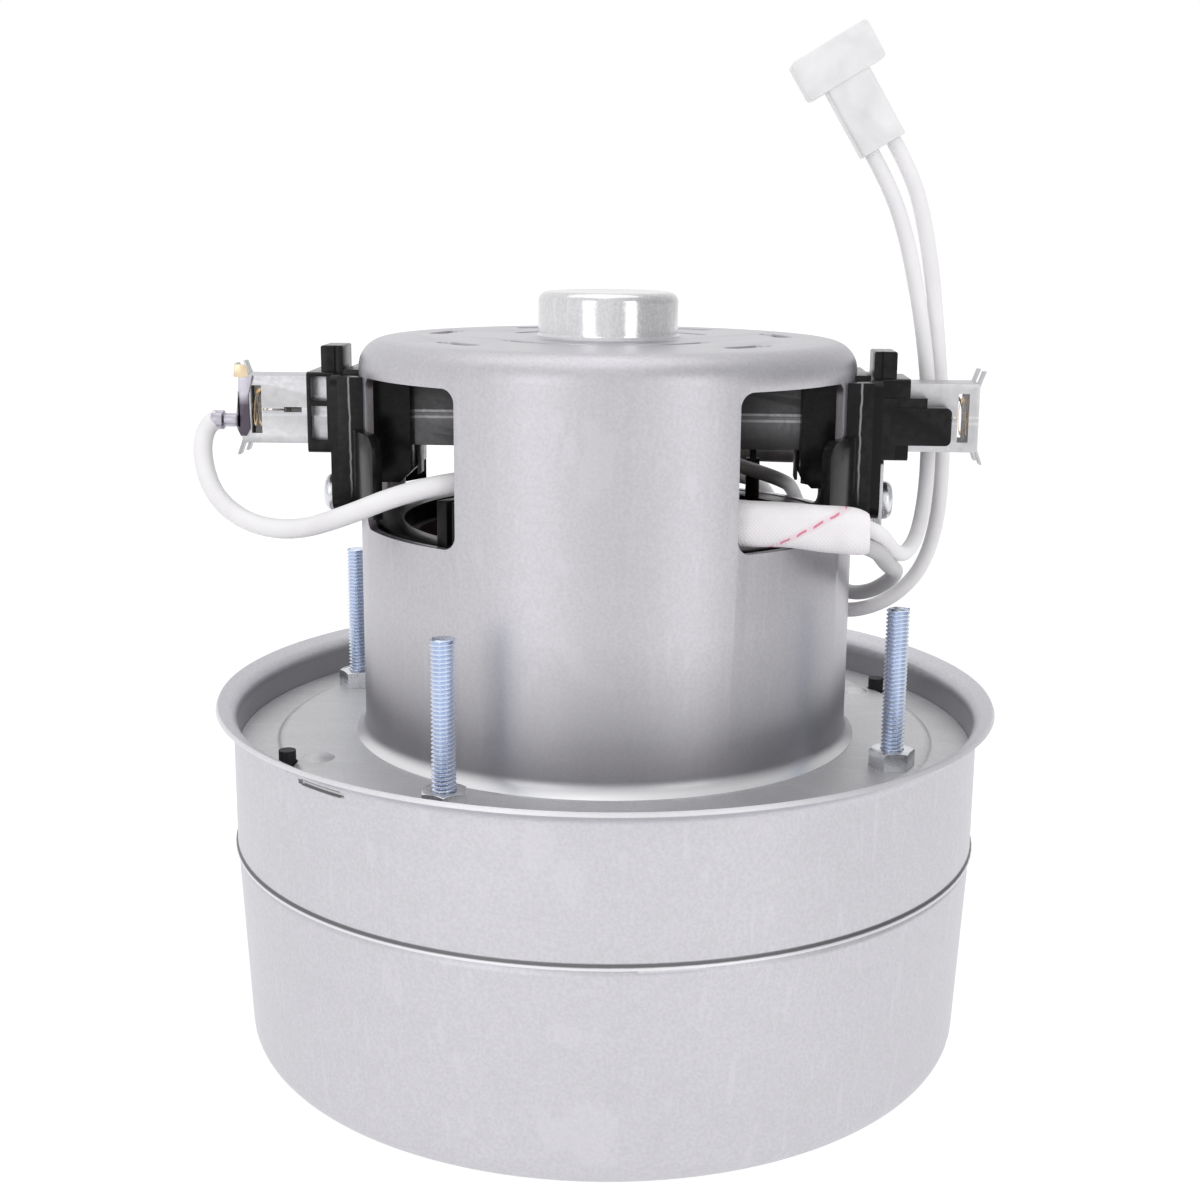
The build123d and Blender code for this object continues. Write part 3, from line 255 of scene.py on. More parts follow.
# Settings that a user would change
class MotorUnitSizes(bpy.types.PropertyGroup):
    thread_pitch: bpy.props.FloatProperty(
        name="Thread pitch", description="Rise of the studs' thread in one turn",
        default=0.0007, min=0.0003, unit="LENGTH")
    thread_depth: bpy.props.FloatProperty(
        name="Thread depth", description="How deep the studs' thread is cut",
        default=0.00038, min=0.0001, unit="LENGTH")
    moulding_round: bpy.props.FloatProperty(
        name="Moulding round", description="Radius along the edges of the black mouldings",
        default=0.0003, min=0.0, unit="LENGTH")
    sheet_round: bpy.props.FloatProperty(
        name="Sheet round", description="Radius along the edges of the small pressed pieces",
        default=0.00012, min=0.0, unit="LENGTH")
    lead_sides: bpy.props.IntProperty(
        name="Lead sides", description="How smooth a lead is round its section", default=6, min=2)
    weave_pitch: bpy.props.FloatProperty(
        name="Weave pitch", description="Distance between the threads of the sleeve",
        default=0.00065, min=0.0001, unit="LENGTH")


class MotorUnitColours(bpy.types.PropertyGroup):
    can_steel: bpy.props.FloatVectorProperty(
        name="Can", description="Plated steel of the motor can", subtype="COLOR", size=3,
        min=0.0, max=1.0, default=(0.585, 0.573, 0.605))
    housing_steel: bpy.props.FloatVectorProperty(
        name="Housing", description="Plated steel of the fan cover and its band", subtype="COLOR", size=3,
        min=0.0, max=1.0, default=(0.650, 0.640, 0.675))
    stud_zinc: bpy.props.FloatVectorProperty(
        name="Studs", description="Bluish zinc of the studs and screws", subtype="COLOR", size=3,
        min=0.0, max=1.0, default=(0.66, 0.73, 0.87))
    moulding: bpy.props.FloatVectorProperty(
        name="Mouldings", description="Black of the brush holders", subtype="COLOR", size=3,
        min=0.0, max=1.0, default=(0.0065, 0.006, 0.007))
    lead_white: bpy.props.FloatVectorProperty(
        name="Leads", description="Insulation of the leads", subtype="COLOR", size=3,
        min=0.0, max=1.0, default=(0.92, 0.905, 0.92))
    sleeve: bpy.props.FloatVectorProperty(
        name="Sleeve", description="Glass yarn of the woven sleeve", subtype="COLOR", size=3,
        min=0.0, max=1.0, default=(0.93, 0.90, 0.925))
    tracer: bpy.props.FloatVectorProperty(
        name="Tracer", description="Red thread in the sleeve", subtype="COLOR", size=3,
        min=0.0, max=1.0, default=(0.74, 0.24, 0.36))
    plug: bpy.props.FloatVectorProperty(
        name="Plug", description="Nylon of the plug", subtype="COLOR", size=3,
        min=0.0, max=1.0, default=(0.86, 0.86, 0.87))


class MotorUnitStage(bpy.types.PropertyGroup):
    floor_colour: bpy.props.FloatVectorProperty(
        name="Floor", description="Colour of the floor", subtype="COLOR", size=3,
        min=0.0, max=1.0, default=(0.90, 0.90, 0.91))
    room_light: bpy.props.FloatProperty(
        name="Room light", description="Strength of the even light from all round", default=0.85, min=0.0)
    ceiling: bpy.props.FloatProperty(
        name="Ceiling", description="How bright the room above looks in metal, beside white walls",
        default=0.97, min=0.0, max=1.0)
    right_wall: bpy.props.FloatProperty(
        name="Right wall", description="How bright the right wall looks in metal",
        default=0.55, min=0.0, max=1.0)
    left_power: bpy.props.FloatProperty(
        name="Left softbox", description="Power of the softbox at the left",
        default=1.05, min=0.0, unit="POWER")
    right_power: bpy.props.FloatProperty(
        name="Right softbox", description="Power of the softbox at the right",
        default=1.40, min=0.0, unit="POWER")
    top_power: bpy.props.FloatProperty(
        name="Top softbox", description="Power of the softbox above", default=2.2, min=0.0, unit="POWER")


def sizes():
    return bpy.context.scene.motor_unit_sizes


def colours():
    return bpy.context.scene.motor_unit_colours


# Nodes
def put(tree, kind, settings=(), inputs=()):
    """Adds a node; an input is given a value, or a socket that feeds it."""
    node = tree.nodes.new(kind)
    for name, value in dict(settings).items():
        setattr(node, name, value)
    for name, value in dict(inputs).items():
        if isinstance(value, bpy.types.NodeSocket):
            tree.links.new(value, node.inputs[name])
        else:
            node.inputs[name].default_value = value
    return node


def tree_of(*values):
    """The node tree of the first socket among some values."""
    return next(value.id_data for value in values if isinstance(value, bpy.types.NodeSocket))


def reckon(operation, *values):
    """A Math node on values and sockets."""
    node = put(tree_of(*values), "ShaderNodeMath", {"operation": operation}, dict(enumerate(values)))
    return node.outputs[0]


def plus(first, second):
    return reckon("ADD", first, second)


def minus(first, second):
    return reckon("SUBTRACT", first, second)


def times(first, *others):
    for other in others:
        first = reckon("MULTIPLY", first, other)
    return first


def size_of(value):
    return reckon("ABSOLUTE", value)


def greater(first, second):
    return reckon("MAXIMUM", first, second)


def vector(operation, *values):
    """A Vector Math node's two results, the vector and the number."""
    node = put(tree_of(*values), "ShaderNodeVectorMath", {"operation": operation}, dict(enumerate(values)))
    return node.outputs[0], node.outputs[1]


def spread(value, low, high, to_low=0.0, to_high=1.0):
    """Maps a value from one span to another and keeps it inside."""
    return put(value.id_data, "ShaderNodeMapRange", {"clamp": True},
               {"Value": value, "From Min": low, "From Max": high,
                "To Min": to_low, "To Max": to_high}).outputs["Result"]


def near(value, middle, inside, outside, most=1.0):
    """A mask that is full up to one distance from a middle and gone beyond another."""
    return spread(size_of(minus(value, middle)), inside, outside, most, 0.0)


def object_place(tree):
    """Where the shaded point is on its piece."""
    return put(tree, "ShaderNodeTexCoord").outputs["Object"]


def axes(place):
    """A place's X, Y and Z."""
    return put(place.id_data, "ShaderNodeSeparateXYZ", (), {0: place}).outputs


def way_out(parts):
    """The level way out from the shaft to a place, at its own length and at the length 1."""
    level = {"X": parts["X"], "Y": parts["Y"]}
    way = put(tree_of(*level.values()), "ShaderNodeCombineXYZ", (), level).outputs[0]
    return way, vector("NORMALIZE", way)[0]


def noise(place, size, detail, **more):
    """A noise pattern."""
    return put(place.id_data, "ShaderNodeTexNoise", (),
               {"Vector": place, "Scale": size, "Detail": detail, **more}).outputs["Fac"]


def wander(place, size, detail, reach):
    """A small shift to and fro, which makes a line less straight."""
    return times(minus(noise(place, size, detail), 0.5), reach)


def ridges(along, turn):
    """Rounded ridges from 0 to 1 along a length, one to each pi of its turn."""
    return size_of(reckon("SINE", times(along, turn)))


def mix(share, first, second):
    """A colour between two."""
    tree = tree_of(share, first, second)
    node = put(tree, "ShaderNodeMix", {"data_type": "RGBA", "blend_type": "MIX"}, {0: share})
    for index, colour in ((6, first), (7, second)):
        if isinstance(colour, bpy.types.NodeSocket):
            tree.links.new(colour, node.inputs[index])
        else:
            node.inputs[index].default_value = (*tuple(colour)[:3], 1.0)
    return node.outputs[2]


def start_group(name, outputs, **inputs):
    """A new shader group of numbers: its tree, what it is given and what it gives."""
    tree = bpy.data.node_groups.new(name, "ShaderNodeTree")
    for label, value in inputs.items():
        socket = tree.interface.new_socket(label, in_out="INPUT", socket_type="NodeSocketFloat")
        socket.default_value = value
    for label in outputs:
        tree.interface.new_socket(label, in_out="OUTPUT", socket_type="NodeSocketFloat")
    return tree, tree.nodes.new("NodeGroupInput").outputs, tree.nodes.new("NodeGroupOutput").inputs


def effect(tree, name, **inputs):
    """Places a shared effect in a material with its own values."""
    node = tree.nodes.new("ShaderNodeGroup")
    node.node_tree = bpy.data.node_groups[name]
    for label, value in inputs.items():
        node.inputs[label.capitalize()].default_value = value
    return node.outputs


def drawn_marks():
    """Streaks that follow the shaft, as a drawing die leaves them on a round pressing."""
    tree, given, result = start_group("Drawn marks", ("Streaks",), Around=60.0, Along=6.0, Detail=4.0)
    parts = axes(object_place(tree))
    wide = put(tree, "ShaderNodeVectorMath", {"operation": "SCALE"},
               {0: way_out(parts)[1], "Scale": given["Around"]}).outputs[0]
    lift = put(tree, "ShaderNodeCombineXYZ", (), {"Z": times(parts["Z"], given["Along"])}).outputs[0]
    both = vector("ADD", wide, lift)[0]
    tree.links.new(noise(both, 1.0, given["Detail"], Roughness=0.62), result["Streaks"])


def cloudy_finish():
    """Soft patches, as on plating and on handled surfaces."""
    tree, given, result = start_group("Cloudy finish", ("Patches",), Size=30.0, Contrast=0.25)
    clouds = noise(object_place(tree), given["Size"], 5.0, Roughness=0.55, Distortion=0.4)
    low, high = minus(0.5, given["Contrast"]), plus(0.5, given["Contrast"])
    tree.links.new(spread(clouds, low, high), result["Patches"])


def fine_grain():
    """Small even bumps, as on mouldings, plating and yarn."""
    tree, given, result = start_group("Fine grain", ("Grain",), Size=2500.0)
    grain = noise(object_place(tree), given["Size"], 3.0, Roughness=0.6)
    tree.links.new(grain, result["Grain"])


def edge_wear_and_highlight():
    """Where an edge stands out and is made brighter, by rubbing and as a painted highlight."""
    tree, given, result = start_group("Edge wear and highlight", ("Worn and bright",), Reach=0.06, Strength=0.6)
    point = put(tree, "ShaderNodeNewGeometry").outputs["Pointiness"]
    edge = spread(point, 0.505, plus(0.5, given["Reach"]))
    broken = spread(noise(object_place(tree), 700.0, 3.0), 0.35, 0.62, 0.25, 1.0)
    tree.links.new(times(edge, broken, given["Strength"]), result["Worn and bright"])


def lay_scratches():
    """Short straight scratches in three directions, as on handled sheet."""
    tree, given, result = start_group("Handling scratches", ("Scratches",), Size=90.0, Share=0.5)
    place = object_place(tree)
    found = 0.0
    for turn, stretch in ((0.5, 14.0), (1.9, 11.0), (2.7, 16.0)):
        mapped = put(tree, "ShaderNodeMapping", {"vector_type": "POINT"},
                     {"Vector": place, "Rotation": (0.3 * turn, 1.1 * turn, turn),
                      "Scale": (1.0, stretch, 1.0)}).outputs[0]
        line = spread(noise(mapped, given["Size"], 2.0), 0.66, 0.70)
        found = greater(found, line)
    tree.links.new(times(found, given["Share"]), result["Scratches"])


def woven_yarn():
    """Crossing threads of a plain weave along the sleeve."""
    tree, given, result = start_group("Woven yarn", ("Height", "Gaps"), Pitch=0.0006)
    place = object_place(tree)
    parts = axes(place)
    shift = wander(place, 260.0, 1.0, 0.0012)
    turn = reckon("DIVIDE", math.pi, given["Pitch"])
    girth = plus(parts["Z"], times(parts["Y"], 0.8))
    threads = []
    for sign in (1.0, -1.0):
        slant = plus(parts["X"], times(girth, sign))
        threads.append(ridges(plus(slant, shift), turn))
    height = greater(*threads)
    tree.links.new(height, result["Height"])
    tree.links.new(spread(height, 0.35, 0.9, 1.0, 0.0), result["Gaps"])


# Materials
Finish = namedtuple("Finish", "material tree surface base")


def shader(name, settings):
    """A material with one Principled shader, whose plain values stand on its own sockets."""
    material = bpy.data.materials.new(name)
    material.use_nodes = True
    tree = material.node_tree
    tree.nodes.clear()
    surface = put(tree, "ShaderNodeBsdfPrincipled", (), settings)
    end = put(tree, "ShaderNodeOutputMaterial")
    tree.links.new(surface.outputs[0], end.inputs["Surface"])
    return material, tree, surface


def feed(surface, base, rough):
    """Gives the shader its colour and its roughness."""
    surface.id_data.links.new(base, surface.inputs["Base Color"])
    surface.id_data.links.new(rough, surface.inputs["Roughness"])


def repainted(finish, base):
    """A finish's material with another colour in place of its first."""
    finish.tree.links.new(base, finish.surface.inputs["Base Color"])
    return finish.material


def bump(surface, height, strength, distance):
    """Lets a height change the surface's normal."""
    tree = surface.id_data
    node = put(tree, "ShaderNodeBump", (), {"Strength": strength, "Distance": distance, "Height": height})
    tree.links.new(node.outputs[0], surface.inputs["Normal"])


def plated_sheet(name, colour, roughness, around, along, contrast, clouds=0.12, metal=1.0):
    """Satin plated steel: drawn streaks, cloudy plating, fine grain and faint scratches."""
    material, tree, surface = shader(name, {"Metallic": metal})
    streaks = effect(tree, "Drawn marks", around=around, along=along, detail=5.0)["Streaks"]
    patches = effect(tree, "Cloudy finish", size=42.0, contrast=0.4)["Patches"]
    scratches = effect(tree, "Handling scratches", size=75.0, share=0.35)["Scratches"]
    grain = effect(tree, "Fine grain", size=1800.0)["Grain"]
    colour = Vector(colour)
    darker, paler = colour * (1 - contrast), colour * (1 + contrast)
    base = mix(spread(streaks, 0.3, 0.7), darker, paler)
    base = mix(patches, base, mix(clouds, base, colour * 0.4))
    base = mix(spread(grain, 0.38, 0.62, 0.0, 0.16), base, colour * 0.45)
    base = mix(scratches, base, colour * (1 + 2 * contrast))
    rough = spread(streaks, 0.25, 0.75, roughness - 0.03, roughness + 0.03)
    rough = plus(rough, spread(patches, 0.0, 1.0, -0.01, 0.01))
    feed(surface, base, minus(rough, times(scratches, 0.03)))
    bump(surface, plus(times(streaks, 0.5), times(grain, 0.5)), 0.08, 0.0002)
    return Finish(material, tree, surface, base)


def housing_sheet():
    """The cover's sheet, with painted shade on its inner walls, at its slits and in the fold above the seam,
    and painted highlights on the seam's lip and the rim's edge.
    """
    shade = Vector(colours().housing_steel)
    finish = plated_sheet("housing_sheet", shade, 0.48, 9.0, 240.0, 0.02, 0.06)
    tree = finish.tree
    parts = axes(object_place(tree))
    outward, heading = way_out(parts)
    facing = vector("DOT_PRODUCT", heading, put(tree, "ShaderNodeTexCoord").outputs["Normal"])[1]
    # Painted shade on the walls that face the shaft
    inner = spread(facing, -0.84, -0.99, 0.0, 0.60)
    # Painted shade in the fold just above the seam, on faces that look outward
    fold = near(parts["Z"], SEAM_FOLD_SHADE, 0.00018, 0.00040, 0.80)
    fold = times(fold, spread(facing, 0.2, 0.5))
    # Painted highlight on the seam's lip
    lip = near(parts["Z"], SEAM_LIP_HIGHLIGHT, 0.00015, 0.00030, 0.60)
    # Painted shade in and round the band's two slits
    slit_way = (math.sin(SLIT_TURN), -math.cos(SLIT_TURN), 0.0)
    slit = size_of(vector("DOT_PRODUCT", heading, slit_way)[1])
    slit = spread(slit, SLIT_END - 0.0004, SLIT_END, 0.0, 0.85)
    slit_shade = near(parts["Z"], SLIT_HEIGHT, 0.00050, 0.00062)
    # Painted highlight along the flared rim's outer edge
    rim = spread(vector("LENGTH", outward)[1], RIM_HIGHLIGHT_EDGE - 0.00045, RIM_HIGHLIGHT_EDGE, 0.0, 0.5)
    base = mix(inner, finish.base, shade * 0.25)
    base = mix(times(slit, slit_shade), base, shade * 0.12)
    base = mix(greater(lip, rim), base, (0.9, 0.9, 0.92))
    return repainted(finish, mix(fold, base, shade * 0.10))


def can_sheet():
    """The can's satin sheet, with painted shade towards the foot, whose rolled edge is smoother and lightened
    as a painted highlight.
    """
    shade = Vector(colours().can_steel)
    finish = plated_sheet("can_sheet", shade, 0.42, 36.0, 24.0, 0.022, 0.10)
    tree, rough = finish.tree, finish.surface.inputs["Roughness"]
    height = axes(object_place(tree))["Z"]
    # Painted shade, darker towards the foot
    can_lower_shade = spread(height, *CAN_LOWER_SHADE, 0.60, 0.0)
    # The foot is smoother, and lightened as a painted highlight
    foot = spread(height, *CAN_FOOT, 1.0, 0.0)
    tree.links.new(minus(rough.links[0].from_socket, times(foot, 0.09)), rough)
    base = mix(can_lower_shade, finish.base, shade * 0.45)
    return repainted(finish, mix(foot, base, (0.76, 0.76, 0.78)))


def bright_metal(name, colour, roughness, grain_size, contrast, wear=0.4):
    """Small metal pieces: fine grain, patches, and edges brightened by rubbing and as a painted highlight."""
    material, tree, surface = shader(name, {"Metallic": 1.0})
    patches = effect(tree, "Cloudy finish", size=160.0, contrast=0.2)["Patches"]
    grain = effect(tree, "Fine grain", size=grain_size)["Grain"]
    worn_and_bright = effect(tree, "Edge wear and highlight", reach=0.1, strength=wear)["Worn and bright"]
    colour = Vector(colour)
    base = mix(patches, colour * (1 - contrast), colour * (1 + 0.5 * contrast))
    # Edges lightened by rubbing and as a painted highlight
    base = mix(worn_and_bright, base, colour.lerp(Vector((0.9, 0.9, 0.9)), 0.5))
    rough = spread(grain, 0.3, 0.7, max(0.04, roughness - 0.07), roughness + 0.07)
    feed(surface, base, rough)
    bump(surface, grain, 0.15, 0.00008)
    return Finish(material, tree, surface, base)


def tube_metal():
    """The brush tubes: bright outside the can, with painted shade on their part inside it and painted
    highlights along two ribs.
    """
    finish = bright_metal("tube_metal", (0.53, 0.53, 0.55), 0.38, 1600.0, 0.12, 0.3)
    tree = finish.tree
    place = object_place(tree)
    parts = axes(place)
    # Painted shade on the tubes inside the can, with a ragged edge and stronger on their upper half
    shade_edge_noise = times(noise(place, 900.0, 4.0), 0.004)
    inside_can_shade = spread(plus(size_of(parts["X"]), shade_edge_noise), *TUBE_INSIDE_SHADE, 0.78, 0.0)
    upper = spread(parts["Z"], TUBE_MIDDLE, TUBE_MIDDLE + 0.0006, 0.88, 1.16)
    base = mix(times(inside_can_shade, upper), finish.base, (0.05, 0.05, 0.052))
    # Painted highlights along the two ribs
    from_middle = size_of(minus(parts["Z"], TUBE_MIDDLE))
    rib_highlight = near(from_middle, TUBE_RIB, 0.00012, 0.00030, 0.50)
    return repainted(finish, mix(rib_highlight, base, (0.72, 0.72, 0.74)))


def terminal_tin():
    """The terminal's tinned sheet, bluish, with painted shade on its lower part beside the crimp."""
    finish = bright_metal("terminal_tin", (0.50, 0.48, 0.55), 0.38, 2500.0, 0.15)
    tree = finish.tree
    parts = axes(object_place(tree))
    # Painted shade on the flag's lower part
    below = spread(parts["Z"], *FLAG_SHADE_TOP, 0.92, 0.0)
    flag_shade = times(below, spread(parts["X"], *FLAG_SHADE_SIDE))
    return repainted(finish, mix(flag_shade, finish.base, (0.075, 0.058, 0.08)))


def moulding(name, colour, roughness, grain_size, relief, coat=0.0, sheen=0.5, rub_and_highlight=0.35):
    """Moulded plastic: faint texture, small colour changes, and edges made paler by rubbing and as a painted
    highlight.
    """
    material, tree, surface = shader(
        name, {"Metallic": 0.0, "Coat Roughness": 0.18, "Specular IOR Level": sheen})
    patches = effect(tree, "Cloudy finish", size=120.0, contrast=0.25)["Patches"]
    grain = effect(tree, "Fine grain", size=grain_size)["Grain"]
    worn_and_bright = effect(tree, "Edge wear and highlight", reach=0.12, strength=rub_and_highlight)["Worn and bright"]
    colour = Vector(colour)
    base = mix(patches, colour * 0.86, colour * 1.12)
    # Edges lightened by rubbing and as a painted highlight
    base = mix(worn_and_bright, base, colour.lerp(Vector((0.6, 0.6, 0.6)), 0.22))
    rough = plus(spread(patches, 0.0, 1.0, roughness - 0.03, roughness + 0.04),
                 spread(grain, 0.3, 0.7, -0.04, 0.04))
    feed(surface, base, rough)
    if coat:
        tree.links.new(spread(patches, 0.0, 1.0, coat * 0.7, coat), surface.inputs["Coat Weight"])
    bump(surface, grain, relief, 0.0001)
    return Finish(material, tree, surface, base)


def holder_moulding():
    """The brush holders' black moulding, with a painted highlight along the line where its mould halves met.
    """
    finish = moulding("holder_moulding", colours().moulding, 0.20, 2200.0, 0.015, 0.05, 0.14, 0.10)
    tree = finish.tree
    place = object_place(tree)
    parts = axes(place)
    across = plus(size_of(parts["X"]), wander(place, 330.0, 2.0, 0.0006))
    # A painted highlight along the parting line
    line = near(across, PARTING_LINE, 0.00008, 0.00022, 0.55)
    outer = spread(size_of(parts["Y"]), *PARTING_SIDE)
    upper = spread(parts["Z"], *PARTING_FOOT)
    return repainted(finish, mix(times(line, outer, upper), finish.base, (0.5, 0.5, 0.52)))


def insulation(name, colour, roughness, relief):
    """Lead insulation with fine braid under its coating, and painted shade in the gaps of the braid."""
    material, tree, surface = shader(name, {"Metallic": 0.0, "Specular IOR Level": 0.4})
    patches = effect(tree, "Cloudy finish", size=70.0, contrast=0.2)["Patches"]
    yarn = effect(tree, "Woven yarn", pitch=0.0005)
    grain = effect(tree, "Fine grain", size=1500.0)["Grain"]
    colour = Vector(colour)
    base = mix(patches, colour * 0.93, colour * 1.04)
    # Painted shade in the gaps between the braid's threads
    base = mix(times(yarn["Gaps"], 0.22), base, colour * 0.78)
    feed(surface, base, spread(grain, 0.3, 0.7, roughness - 0.06, roughness + 0.06))
    height = plus(times(yarn["Height"], 0.7), times(grain, 0.3))
    bump(surface, height, relief, 0.00012)
    return material


def sleeve_weave():
    """The woven sleeve: crossing yarns with painted shade in their gaps, and a broken red tracer that winds
    along it.
    """
    material, tree, surface = shader(
        "woven_sleeve", {"Metallic": 0.0, "Sheen Weight": 0.15, "Specular IOR Level": 0.35})
    yarn = effect(tree, "Woven yarn", pitch=sizes().weave_pitch)
    patches = effect(tree, "Cloudy finish", size=140.0, contrast=0.25)["Patches"]
    place = object_place(tree)
    parts = axes(place)
    line = minus(parts["Z"], times(parts["X"], TRACER_CLIMB))
    line = plus(line, times(noise(place, 420.0, 1.0), 0.0006))
    offset = reckon("PINGPONG", minus(line, TRACER_START), TRACER_RETURN / 2)
    dash = reckon("FRACT", times(parts["X"], TRACER_DASHES))
    dash = times(spread(dash, 0.30, 0.36), spread(dash, 0.90, 0.96, 1.0, 0.0))
    thin = times(spread(offset, 0.00017, 0.00031, 1.0, 0.0), dash)
    red = greater(thin, spread(offset, 0.0003, 0.0009, 0.20, 0.0))
    white = Vector(colours().sleeve)
    base = mix(patches, white * 0.95, white * 1.04)
    # Painted shade in the gaps between the yarns
    base = mix(times(yarn["Gaps"], 0.22), base, white * 0.72)
    base = mix(red, base, colours().tracer)
    feed(surface, base, spread(yarn["Height"], 0.3, 1.0, 0.9, 0.68))
    bump(surface, yarn["Height"], 0.4, 0.00012)
    return material


def wound_wire(name, colour, pitch, roughness):
    """Enamelled wire laid in turns: fine ridges, with painted shade in the gaps between them."""
    material, tree, surface = shader(name, {"Metallic": 0.35, "Coat Roughness": 0.15})
    parts = axes(object_place(tree))
    grain = effect(tree, "Fine grain", size=400.0)["Grain"]
    across = plus(plus(parts["X"], parts["Y"]), times(parts["Z"], 0.7))
    ridge = ridges(plus(across, times(grain, 0.0006)), math.pi / pitch)
    colour = Vector(colour)
    # Painted shade in the gaps between the turns
    base = mix(ridge, colour * 0.45, colour * 1.1)
    feed(surface, base, spread(grain, 0.3, 0.7, roughness - 0.05, roughness + 0.1))
    tree.links.new(spread(ridge, 0.0, 1.0, 0.2, 0.8), surface.inputs["Coat Weight"])
    bump(surface, ridge, 0.6, pitch / 3)
    return material


def stacked_sheets():
    """The edges of thin steel sheets, one on another, with a varnish."""
    material, tree, surface = shader("laminations", {"Metallic": 0.85})
    wave = ridges(axes(object_place(tree))["Z"], math.pi / LAMINATION)
    patches = effect(tree, "Cloudy finish", size=90.0, contrast=0.2)["Patches"]
    base = mix(wave, (0.06, 0.06, 0.07), (0.24, 0.24, 0.26))
    base = mix(spread(patches, 0.0, 1.0, 0.0, 0.3), base, (0.13, 0.10, 0.08))
    feed(surface, base, spread(patches, 0.0, 1.0, 0.4, 0.6))
    bump(surface, wave, 0.4, 0.0001)
    return material


def make_finishes():
    """Builds the shared effects and every material."""
    for build in (drawn_marks, cloudy_finish, fine_grain, edge_wear_and_highlight, lay_scratches, woven_yarn):
        build()
    shades = colours()
    # Each row's numbers stand in the order that its function takes them
    for name, *values in (
        ("plate_sheet", (0.69, 0.69, 0.71), 0.48, 9.0, 240.0, 0.05, 0.2, 0.7),
        ("boss_polish", (0.74, 0.74, 0.76), 0.16, 30.0, 900.0, 0.05),
    ):
        FINISHES[name] = plated_sheet(name, *values).material
    for name, *values in (
        ("zinc_fasteners", shades.stud_zinc, 0.27, 3000.0, 0.06, 0.6),
        ("nut_zinc", (0.74, 0.75, 0.78), 0.30, 2500.0, 0.10, 0.6),
        ("strip_steel", (0.55, 0.55, 0.57), 0.33, 1600.0, 0.10),
        ("spring_brass", (0.92, 0.66, 0.30), 0.28, 3000.0, 0.06),
        ("terminal_brass", (0.74, 0.60, 0.40), 0.32, 2500.0, 0.16),
        ("commutator_copper", (0.72, 0.40, 0.26), 0.30, 1200.0, 0.2),
        ("fan_aluminium", (0.66, 0.67, 0.69), 0.36, 900.0, 0.08),
        ("bearing_steel", (0.62, 0.62, 0.64), 0.14, 3000.0, 0.05),
        ("shaft_steel", (0.52, 0.52, 0.54), 0.24, 1500.0, 0.08),
    ):
        FINISHES[name] = bright_metal(name, *values).material
    for name, *values in (
        ("frame_plastic", shades.moulding, 0.32, 2200.0, 0.04, 0.0, 0.14, 0.10),
        ("guide_plastic", (0.016, 0.016, 0.018), 0.55, 1800.0, 0.2, 0.0, 0.2),
        ("plug_plastic", shades.plug, 0.34, 1500.0, 0.06, 0.2),
        ("commutator_moulding", (0.05, 0.03, 0.02), 0.55, 1600.0, 0.2),
        ("carbon", (0.03, 0.03, 0.032), 0.62, 1200.0, 0.5),
    ):
        FINISHES[name] = moulding(name, *values).material
    for name, *values in (
        ("lead_white", shades.lead_white, 0.46, 0.10),
        ("lead_shaded", (0.60, 0.59, 0.60), 0.50, 0.2),
        # A darker copy of the white insulation, as painted shade, for the short lead inside the can
        ("lead_grey", (0.42, 0.41, 0.41), 0.60, 0.7),
    ):
        FINISHES[name] = insulation(name, *values)
    FINISHES.update({
        "steel_sheet": housing_sheet(),
        "can_sheet": can_sheet(),
        "black_plastic": holder_moulding(),
        "tube_steel": tube_metal(),
        "terminal_tin": terminal_tin(),
        "woven_sleeve": sleeve_weave(),
        "laminations": stacked_sheets(),
        "winding_copper": wound_wire("winding_copper", (0.52, 0.20, 0.08), 0.0006, 0.35),
    })


# Meshes
def close_up(bm, name, sharp_above):
    """Turns a bmesh into a mesh that is smooth but for its sharp edges."""
    limit = math.radians(sharp_above)
    for face in bm.faces:
        face.smooth = True
    for edge in bm.edges:
        edge.smooth = not (len(edge.link_faces) == 2 and edge.calc_face_angle(0.0) > limit)
    mesh = bpy.data.meshes.new(name)
    bm.to_mesh(mesh)
    bm.free()
    if "custom_normal" in mesh.attributes:
        mesh.attributes.remove(mesh.attributes["custom_normal"])
    return mesh


def merged_copy(node_name):
    """A CAD node's loose triangles as one closed bmesh with plain flat faces."""
    bm = bmesh.new()
    bm.from_mesh(frame["nodes"][node_name].data)
    bmesh.ops.remove_doubles(bm, verts=bm.verts, dist=2e-6)
    bmesh.ops.dissolve_degenerate(bm, dist=1e-6, edges=bm.edges)
    bmesh.ops.dissolve_limit(bm, angle_limit=math.radians(0.6), verts=bm.verts, edges=bm.edges)
    bmesh.ops.recalc_face_normals(bm, faces=bm.faces)
    for face in bm.faces:
        face.material_index = 0
    return bm


def round_edges(bm, width, segments, above=35.0):
    """Rounds every edge that is sharper than an angle."""
    limit = math.radians(above)
    edges = [edge for edge in bm.edges
             if len(edge.link_faces) == 2 and edge.calc_face_angle(0.0) > limit]
    bmesh.ops.bevel(bm, geom=edges, offset=width, offset_type="OFFSET", segments=segments,
                    affect="EDGES", profile=0.5, material=-1, clamp_overlap=True)
    bmesh.ops.remove_doubles(bm, verts=bm.verts, dist=1e-6)


def refined(node_name, width, segments=2, above=35.0):
    """A merged copy of a CAD node with its edges rounded."""
    bm = merged_copy(node_name)
    round_edges(bm, width, segments, above)
    return bm


